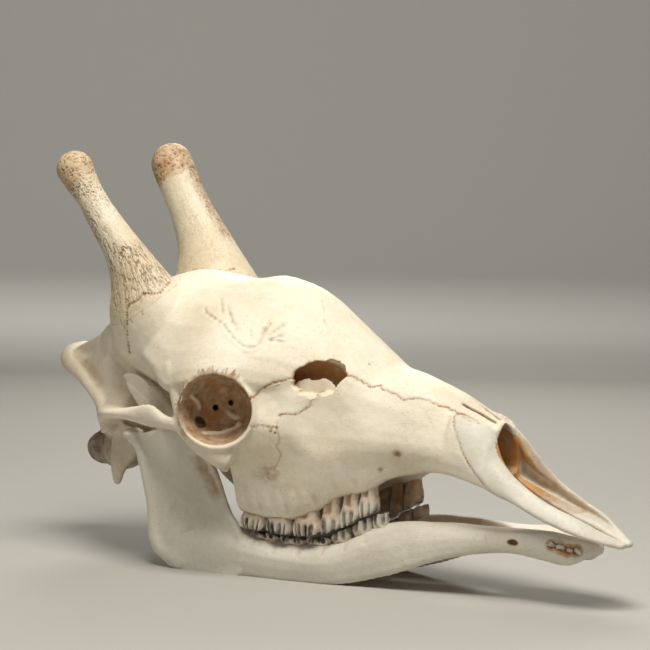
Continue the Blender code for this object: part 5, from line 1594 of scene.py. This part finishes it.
def join(tree, value, socket):
    """Sets a node's input to a value, or joins it to another node's output."""
    if isinstance(value, bpy.types.NodeSocket):
        tree.links.new(value, socket)
    else:
        socket.default_value = value


def add_node(tree, kind, inputs=None, family="Shader", **settings):
    """A node with its settings and its inputs."""
    node = tree.nodes.new(family + "Node" + kind)
    for key, value in settings.items():
        setattr(node, key, value)
    for key, value in (inputs or {}).items():
        join(tree, value, node.inputs[key])
    return node


def mix_colour(tree, factor, first, second):
    """Two colours mixed; the colour sockets of the node come after those for numbers and vectors."""
    return add_node(tree, "Mix", {0: factor, 6: first, 7: second}, data_type="RGBA").outputs[2]


def noise(tree, place, scale, detail):
    return add_node(tree, "TexNoise", {"Vector": place, "Scale": scale, "Detail": detail}).outputs[0]


def kept_mark(tree, name, output="Fac"):
    """What the bone's points carry under a name."""
    return add_node(tree, "Attribute", attribute_name=name).outputs[output]


def ranged(tree, value, low, high, to_low=0.0, to_high=1.0):
    node = add_node(tree, "MapRange", {"Value": value, "From Min": low, "From Max": high,
                                       "To Min": to_low, "To Max": to_high})
    return node.outputs[0]


def maths(tree, operation, first, second):
    node = add_node(tree, "Math", {0: first, 1: second}, operation=operation)
    return node.outputs[0]


def bone_tone_group():
    """Slow drift between two bone colours, with a fine mottle on it."""
    tree, start, end = node_group(
        "bone_tone",
        {"Vector": ("Vector", None), "Light": ("Color", (1, 1, 1, 1)), "Shade": ("Color", (1, 1, 1, 1))},
        {"Color": "Color"},
    )
    given = start.outputs
    drift = ranged(tree, noise(tree, given["Vector"], 16.0, 4.0), 0.38, 0.68)
    mottle = ranged(tree, noise(tree, given["Vector"], 240.0, 5.0), 0.3, 0.75, -0.22, 0.22)
    factor = maths(tree, "ADD", drift, mottle)
    join(tree, mix_colour(tree, factor, given["Light"], given["Shade"]), end.inputs["Color"])
    return tree


def pore_group():
    """Small pits in the bone, more of them in some places than in others."""
    tree, start, end = node_group(
        "bone_pores", {"Vector": ("Vector", None), "Scale": ("Float", 600.0), "Share": ("Float", 0.3)},
        {"Mask": "Float"},
    )
    given = start.outputs
    cells = add_node(tree, "TexVoronoi", {"Vector": given["Vector"], "Scale": given["Scale"]}).outputs
    chance = add_node(tree, "SeparateColor", {"Color": cells["Color"]}).outputs[0]
    patches = ranged(tree, noise(tree, given["Vector"], 34.0, 2.0), 0.42, 0.66, 0.1, 2.2)
    chosen = maths(tree, "LESS_THAN", chance, maths(tree, "MULTIPLY", given["Share"], patches))
    pit = ranged(tree, cells["Distance"], 0.34, 0.12)
    join(tree, maths(tree, "MULTIPLY", pit, chosen), end.inputs["Mask"])
    return tree


def grain_group():
    """Fine fibres of bone along the skull over low lumps, as a height."""
    tree, start, end = node_group("bone_grain", {"Vector": ("Vector", None)}, {"Height": "Float"})
    place = start.outputs["Vector"]
    stretch = add_node(tree, "Mapping", {"Vector": place, "Scale": (0.22, 1.0, 0.8)}).outputs[0]
    total = maths(tree, "ADD", noise(tree, stretch, 800.0, 4.0), noise(tree, place, 120.0, 4.0))
    join(tree, total, end.inputs["Height"])
    return tree


def suture_group():
    """Ragged line where two bones meet, from the distance to it in millimetres."""
    tree, start, end = node_group(
        "bone_suture", {"Vector": ("Vector", None), "Distance": ("Float", 10.0)},
        {"Line": "Float", "Halo": "Float"},
    )
    place, distance = start.outputs["Vector"], start.outputs["Distance"]
    wave = ranged(tree, noise(tree, place, 420.0, 3.0), 0.3, 0.7, -0.45, 0.55)
    line = ranged(tree, maths(tree, "ADD", distance, wave), 0.95, 0.3)
    breaks = ranged(tree, noise(tree, place, 95.0, 2.0), 0.36, 0.5, 0.25, 1.0)
    join(tree, maths(tree, "MULTIPLY", line, breaks), end.inputs["Line"])
    join(tree, ranged(tree, distance, 3.2, 0.4, 0.0, 0.28), end.inputs["Halo"])
    return tree


# Near-black colours of the dark mark: painted shade in holes, pits, slits, scratches and folds, and between
# the tooth rows
DEEP_BROWN = (0.05, 0.027, 0.012, 1)
HORN_BROWN = (0.13, 0.062, 0.024, 1)
TOOTH_BLACK = (0.028, 0.024, 0.02, 1)
SUTURE_BROWN = (0.33, 0.18, 0.07, 1)
PORE_BROWN = (0.28, 0.17, 0.08, 1)
GROOVE_BROWN = (0.26, 0.135, 0.052, 1)
RUST = (0.62, 0.3, 0.095, 1)
# Painted shade with grime in hollows: how much darker it is than the stain, in red, green and blue
HOLLOW_SHADE = (0.55, 0.5, 0.45)
# Colours of the finishes: light tone, dark tone, stain
IVORY = ((0.87, 0.8, 0.655), (0.745, 0.65, 0.49), (0.37, 0.2, 0.08))
GREY_IVORY = ((0.765, 0.725, 0.625), (0.64, 0.595, 0.5), (0.42, 0.235, 0.095))
HORN = ((0.84, 0.755, 0.585), (0.73, 0.61, 0.42), (0.47, 0.255, 0.095))
ENAMEL = ((0.8, 0.765, 0.685), (0.63, 0.575, 0.475), (0.46, 0.25, 0.095))


def ridges(tree, place, scale, detail, low, high):
    """Thin branching lines where a noise passes its middle value."""
    middle = maths(tree, "SUBTRACT", noise(tree, place, scale, detail), 0.5)
    return ranged(tree, maths(tree, "ABSOLUTE", middle, 0.0), low, high)


def horn_grooves(tree, height):
    """Long fine grooves that follow a horn: their mask, and the height with them in it."""
    lines = ridges(tree, kept_mark(tree, "course", "Vector"), 21.0, 4.0, 0.04, 0.006)
    fine = maths(tree, "MULTIPLY", lines, ranged(tree, kept_mark(tree, "grooved"), 0.0, 1.0, 0.1, 0.85))
    return fine, maths(tree, "SUBTRACT", height, maths(tree, "MULTIPLY", fine, 1.2))


def bone_material(name, groups, tones, pore_share=0.1, pore_scale=560.0, roughness=0.52, deep=DEEP_BROWN,
                  bump_depth=0.0006, horn=False):
    """Dry bone: two tones, stain where the surface is marked, painted shade with grime where it is hollow,
    painted shade where it is marked dark, sutures, pores and fine grain.
    """
    light, shade, stain = ((*tone, 1) for tone in tones)
    material = bpy.data.materials.new(name)
    material.use_nodes = True
    tree = material.node_tree
    shader = tree.nodes["Principled BSDF"]
    place = add_node(tree, "TexCoord").outputs["Object"]
    marks, hollow, dark, seam = (kept_mark(tree, label) for label in ("stain", "hollow", "dark", "seam"))
    if horn:
        pore_share = ranged(tree, kept_mark(tree, "pitted"), 0.0, 1.0, pore_share, 1.0)

    def from_group(label, **inputs):
        return add_node(tree, "Group", {"Vector": place, **inputs}, node_tree=groups[label]).outputs

    tone = from_group("tone", Light=light, Shade=shade)["Color"]
    pores = from_group("pores", Scale=pore_scale, Share=pore_share)["Mask"]
    suture = from_group("suture", Distance=seam)
    grain = from_group("grain")["Height"]
    blotches = noise(tree, place, 150.0, 4.0)
    uneven = ranged(tree, blotches, 0.3, 0.7, 0.62, 1.3)
    stained = add_node(tree, "Math", {0: marks, 1: uneven}, operation="MULTIPLY", use_clamp=True).outputs[0]
    rusty = maths(tree, "MULTIPLY", marks, ranged(tree, blotches, 0.3, 0.7, 0.92, 1.06))
    # The hollow and dark layers are painted shade: with grime in hollows, near-black in holes, pits and folds
    layers = [
        (stained, stain), (ranged(tree, rusty, 0.82, 0.98), RUST), (suture["Halo"], stain),
        (hollow, (*(value * share for value, share in zip(stain, HOLLOW_SHADE)), 1)),
        (maths(tree, "MULTIPLY", dark, uneven), deep),
        (maths(tree, "MULTIPLY", pores, 0.8 if horn else 0.6), PORE_BROWN), (suture["Line"], SUTURE_BROWN),
    ]
    height = maths(tree, "SUBTRACT", maths(tree, "SUBTRACT", grain, pores), suture["Line"])
    if horn:
        fine, height = horn_grooves(tree, height)
        layers.append((fine, GROOVE_BROWN))
    colour = tone
    for mask, paint in layers:
        colour = mix_colour(tree, mask, colour, paint)
    join(tree, colour, shader.inputs["Base Color"])
    bump = add_node(tree, "Bump", {"Height": height, "Strength": 0.34, "Distance": bump_depth})
    join(tree, bump.outputs["Normal"], shader.inputs["Normal"])
    join(tree, ranged(tree, grain, 0.6, 1.4, roughness - 0.08, roughness + 0.12), shader.inputs["Roughness"])
    return material


def make_finishes():
    groups = {
        "tone": bone_tone_group(), "pores": pore_group(), "grain": grain_group(), "suture": suture_group(),
    }
    return {
        "bone": bone_material("ivory bone", groups, IVORY),
        "grey_bone": bone_material("grey ivory bone", groups, GREY_IVORY),
        "horn_bone": bone_material("horn bone", groups, HORN, pore_share=0.16, pore_scale=620.0,
                                   deep=HORN_BROWN, horn=True),
        "tooth": bone_material("tooth enamel", groups, ENAMEL, pore_share=0.05, roughness=0.34,
                               deep=TOOTH_BLACK, bump_depth=0.0004),
    }


# The pitted, grooved skin of the horns

def horn_skin_tree(finish):
    """Geometry nodes: finer mesh, pits and long grooves pushed into it, and painted shade in them kept as the
    dark mark.
    """
    tree = bpy.data.node_groups.new("horn skin", "GeometryNodeTree")

    def socket(name, kind, way="INPUT"):
        return tree.interface.new_socket(name=name, in_out=way, socket_type="NodeSocket" + kind)

    def geometry_node(kind, inputs=None, **settings):
        return add_node(tree, kind, inputs, family="Geometry", **settings)

    def stored(label, kind="FLOAT"):
        node = geometry_node("InputNamedAttribute", {"Name": label}, data_type=kind)
        return next(output for output in node.outputs if output.enabled)

    socket("Geometry", "Geometry")
    for label in ("Pit spacing", "Pit depth", "Groove depth", "Seed"):
        socket(label, "Float")
    socket("Levels", "Int").default_value = 1
    socket("Geometry", "Geometry", "OUTPUT")
    given = tree.nodes.new("NodeGroupInput").outputs
    result = tree.nodes.new("NodeGroupOutput")
    fine = geometry_node("SubdivideMesh", {"Mesh": given["Geometry"], "Level": given["Levels"]})
    place = geometry_node("InputPosition").outputs[0]
    scale = maths(tree, "DIVIDE", 1.0, given["Pit spacing"])
    shift = add_node(tree, "VectorMath", {0: place, 1: given["Seed"]}, operation="ADD").outputs[0]
    cells = add_node(tree, "TexVoronoi", {"Vector": shift, "Scale": scale}).outputs["Distance"]
    pit = maths(tree, "MULTIPLY", ranged(tree, cells, 0.46, 0.2), stored("pitted"))
    lines = ridges(tree, stored("course", "FLOAT_VECTOR"), 6.5, 3.0, 0.045, 0.008)
    groove = maths(tree, "MULTIPLY", lines, stored("grooved"))
    sunk = maths(tree, "ADD", maths(tree, "MULTIPLY", pit, given["Pit depth"]),
                 maths(tree, "MULTIPLY", groove, given["Groove depth"]))
    down = add_node(tree, "VectorMath", {0: geometry_node("InputNormal").outputs[0]}, operation="SCALE")
    join(tree, maths(tree, "MULTIPLY", sunk, -1.0), down.inputs["Scale"])
    moved = geometry_node("SetPosition", {"Geometry": fine.outputs[0], "Offset": down.outputs[0]})
    shade = maths(tree, "MAXIMUM", maths(tree, "MULTIPLY", pit, 0.92), maths(tree, "MULTIPLY", groove, 0.85))
    shade = maths(tree, "MAXIMUM", shade, stored("dark"))
    marked = {"Geometry": moved.outputs[0], "Name": "dark", "Value": shade}
    kept = geometry_node("StoreNamedAttribute", marked, data_type="FLOAT", domain="POINT")
    real = geometry_node("RealizeInstances", {"Geometry": kept.outputs[0]})
    dressed = geometry_node("SetMaterial", {"Geometry": real.outputs[0], "Material": finish})
    join(tree, dressed.outputs[0], result.inputs[0])
    return tree


HORN_LENGTH_UNITS = 2.1
# A horn with more triangles than this isn't made finer
PIECE_LIMIT = 47000


def dress_horn(horn, path, near, tree):
    """Marks where the horn is pitted, grooved and tan, then runs its skin."""
    mesh = horn.data
    points = points_of(mesh)
    centres = np.array(spline_points([point[:3] for point in path], 4))
    _, along = path_distance(points, centres, 0.2)
    places = np.linspace(0, 1, len(centres))
    nearest = np.stack([np.interp(along, places, column) for column in centres.T], axis=1)
    out = points - nearest
    out /= np.maximum(np.linalg.norm(out, axis=1), 1e-6)[:, None]
    lumps = value_noise(points, 0.014, 41)
    patches = value_noise(points, 0.006, 42)

    def stretch(start, full, fading, end):
        """Part of the horn's length, fading in and out."""
        return ramp(along, start, full) * ramp(along, end, fading)

    knob = ramp(along + 0.012 * patches, 0.8, 0.87)
    if near:
        pitted = np.maximum(knob, ramp(along, 0.55, 0.74) * np.clip(0.62 + 0.4 * patches, 0, 1))
        grooved = stretch(0.4, 0.5, 0.8, 0.9) * np.clip(0.6 + 0.7 * lumps, 0, 1)
        grooved += stretch(0.2, 0.34, 0.4, 0.52) * 0.75
        tan = np.maximum(knob * 0.5, stretch(0.22, 0.34, 0.4, 0.56) * 0.12)
    else:
        band = ramp(out @ np.array((0.82, 0.57, 0.0)), 0.3, 0.75) * stretch(0.42, 0.55, 0.8, 0.92)
        pitted = np.maximum(knob, band * 0.5)
        grooved = np.clip(band + 0.16 + 0.2 * lumps, 0, 1) * stretch(0.25, 0.4, 0.84, 0.92)
        tan = np.maximum(knob * 0.78, band * 0.45)
    clear = ramp(above_cup(points, -1 if near else 1), 0.001, 0.016)
    tan = tan * clear
    set_mask(mesh, "pitted", np.clip(pitted * clear, 0, 1))
    set_mask(mesh, "grooved", np.clip(grooved * clear, 0, 1))
    set_mask(mesh, "stain", np.clip(np.maximum(tan * (0.85 + 0.3 * lumps), get_mask(mesh, "stain")), 0, 1))
    course = mesh.attributes.new("course", "FLOAT_VECTOR", "POINT")
    flow = np.stack([out[:, 0], out[:, 1], along * HORN_LENGTH_UNITS], axis=1)
    course.data.foreach_set("vector", np.ascontiguousarray(flow, dtype=np.float32).ravel())
    step = horn.modifiers.new("skin", "NODES")
    step.node_group = tree
    names = {item.name: item.identifier for item in tree.interface.items_tree if item.in_out == "INPUT"}
    mesh.calc_loop_triangles()
    step[names["Levels"]] = 1 if len(mesh.loop_triangles) < PIECE_LIMIT else 0
    step[names["Pit spacing"]] = 0.003 if near else 0.0032
    step[names["Pit depth"]] = 0.0009
    step[names["Groove depth"]] = 0.0011 if near else 0.0008
    step[names["Seed"]] = 3.0 if near else 8.0
    apply_modifiers(horn)


# The studio

CAMERA_PLACE = (1.3572 + CENTRE_SHIFT_X, -1.9563, 0.4195)
CAMERA_AZIMUTH = math.radians(35)
CAMERA_ELEVATION = math.radians(4.4)
CAMERA_ROLL = math.radians(0.8)
# Focal length against the width of the sensor, as found from the skull's two halves in the photo
LENS_PER_SIDE = 2520 / 650
SENSOR = 36.0


def make_camera():
    sin_a, cos_a = math.sin(CAMERA_AZIMUTH), math.cos(CAMERA_AZIMUTH)
    sin_e, cos_e = math.sin(CAMERA_ELEVATION), math.cos(CAMERA_ELEVATION)
    forward = Vector((-sin_a * cos_e, cos_a * cos_e, -sin_e))
    right = Vector((cos_a, sin_a, 0))
    up = Vector((-sin_a * sin_e, cos_a * sin_e, cos_e))
    across = right * math.cos(CAMERA_ROLL) + up * math.sin(CAMERA_ROLL)
    upwards = -right * math.sin(CAMERA_ROLL) + up * math.cos(CAMERA_ROLL)
    data = bpy.data.cameras.new("camera")
    data.sensor_width = SENSOR
    data.lens = SENSOR * LENS_PER_SIDE
    camera = link("camera", data)
    turn = Matrix((across, upwards, -forward)).transposed().to_4x4()
    camera.matrix_world = Matrix.Translation(CAMERA_PLACE) @ turn
    bpy.context.scene.camera = camera


# Lamps: (name, place, what it points at, breadth, power, colour)
LAMPS = [
    ("key", (0.45, -0.55, 1.85), (0, 0, 0.2), 0.95, 38, (1.0, 0.955, 0.875)),
    ("front fill", (0.2, -2.3, 0.8), (0, 0, 0.15), 1.0, 3, (1.0, 0.96, 0.9)),
    ("backdrop", (-1.6, 1.6, 2.2), (-4.2, 5.6, 1.6), 2.0, 90, (1.0, 0.99, 0.95)),
    ("back rim", (-0.9, 1.5, 1.3), (0, 0, 0.25), 0.9, 14, (1.0, 0.97, 0.92)),
]
FLOOR_RADIUS = 5.0
BACKDROP_CURVE = 2.0
BACKDROP_HEIGHT = 5.0
FLOOR_SIDES = 96
FLOOR_COLOUR = (0.45, 0.44, 0.41, 1)
WORLD_COLOUR = (0.6, 0.6, 0.56, 1)
WORLD_STRENGTH = 0.37


def soft_light(name, place, target, size, power, colour):
    data = bpy.data.lights.new(name, "AREA")
    data.shape = "DISK"
    data.size = size
    data.energy = power
    data.color = colour
    lamp = link(name, data)
    lamp.location = place
    lamp.rotation_euler = (Vector(target) - Vector(place)).to_track_quat("-Z", "Y").to_euler()


def make_floor():
    """Pale floor that curves up all round into a plain backdrop."""
    profile = [(2.0, 0.0), (4.0, 0.0), (FLOOR_RADIUS, 0.0)]
    for turn in (math.radians(90) * k / 12 for k in range(1, 13)):
        rise = BACKDROP_CURVE - BACKDROP_CURVE * math.cos(turn)
        profile.append((FLOOR_RADIUS + BACKDROP_CURVE * math.sin(turn), rise))
    profile.append((FLOOR_RADIUS + BACKDROP_CURVE, BACKDROP_HEIGHT))
    turns = [math.tau * k / FLOOR_SIDES for k in range(FLOOR_SIDES)]
    shape = bmesh.new()
    centre = shape.verts.new((0, 0, 0))
    rows = [
        [shape.verts.new((radius * math.cos(turn), radius * math.sin(turn), height)) for turn in turns]
        for radius, height in profile
    ]
    for k in range(FLOOR_SIDES):
        after = (k + 1) % FLOOR_SIDES
        shape.faces.new((centre, rows[0][k], rows[0][after]))
        for low, high in zip(rows[:-1], rows[1:]):
            shape.faces.new((low[k], high[k], high[after], low[after]))
    floor = to_object("floor", shape)
    for polygon in floor.data.polygons:
        polygon.use_smooth = True
    paint = bpy.data.materials.new("pale floor")
    paint.use_nodes = True
    shader = paint.node_tree.nodes["Principled BSDF"]
    shader.inputs["Base Color"].default_value = FLOOR_COLOUR
    shader.inputs["Roughness"].default_value = 0.8
    floor.data.materials.append(paint)
    return floor


def make_studio():
    make_floor()
    world = bpy.data.worlds.new("studio")
    world.use_nodes = True
    background = world.node_tree.nodes["Background"]
    background.inputs["Color"].default_value = WORLD_COLOUR
    background.inputs["Strength"].default_value = WORLD_STRENGTH
    bpy.context.scene.world = world
    bpy.context.scene.view_settings.view_transform = "Standard"
    for lamp in LAMPS:
        soft_light(*lamp)


def place_piece(piece, node, material):
    piece.data.transform(Matrix.Translation((CENTRE_SHIFT_X, 0, 0)))
    piece.data.materials.clear()
    piece.data.materials.append(material)
    piece.data.set_sharp_from_angle(angle=math.radians(50))
    for polygon in piece.data.polygons:
        polygon.use_smooth = True
    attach(piece, "root")
    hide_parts(node)


SLOT_OF = {"ossicone": "horn_bone", "premaxilla": "grey_bone", "mandible": "grey_bone"}


def main():
    cranium = build_cranium()
    mark_cranium(cranium.data)
    bones = part_bones(cranium)
    jaw = build_jaw()
    mark_jaw(jaw.data)
    bones["mandible_right"] = jaw
    bones["mandible_left"] = mirrored_copy(jaw, "mandible_left")
    finishes = make_finishes()
    tree = horn_skin_tree(finishes["horn_bone"])
    dress_horn(bones["ossicone_right"], OSSICONE_RIGHT_PATH, True, tree)
    dress_horn(bones["ossicone_left"], OSSICONE_LEFT_PATH, False, tree)
    for name, bone in bones.items():
        bone.name = name + "_bone"
        slot = SLOT_OF.get(name.split("_")[0], "bone")
        place_piece(bone, name, finishes[slot])
    for sign, side in ((-1, "right"), (1, "left")):
        for bone, teeth, gum, upper in (("maxilla", UPPER_TEETH, UPPER_GUM, True),
                                        ("mandible", LOWER_TEETH, LOWER_GUM, False)):
            for index, spec in enumerate(teeth):
                piece = tooth(f"{bone}_{side}_tooth_{index + 1}", spec, gum, upper, sign, index * 3 + upper)
                place_piece(piece, f"{bone}_{side}", finishes["tooth"])
        for index, place in enumerate(FRONT_SOCKETS):
            piece = broken_root(f"mandible_{side}_root_{index + 1}", place, -sign, index)
            for label, share in (("stain", 0.15), ("hollow", 0), ("dark", 0), ("seam", FAR_SEAM)):
                set_mask(piece.data, label, np.full(len(piece.data.vertices), share))
            place_piece(piece, f"mandible_{side}", finishes["tooth"])
    make_studio()
    make_camera()


main()
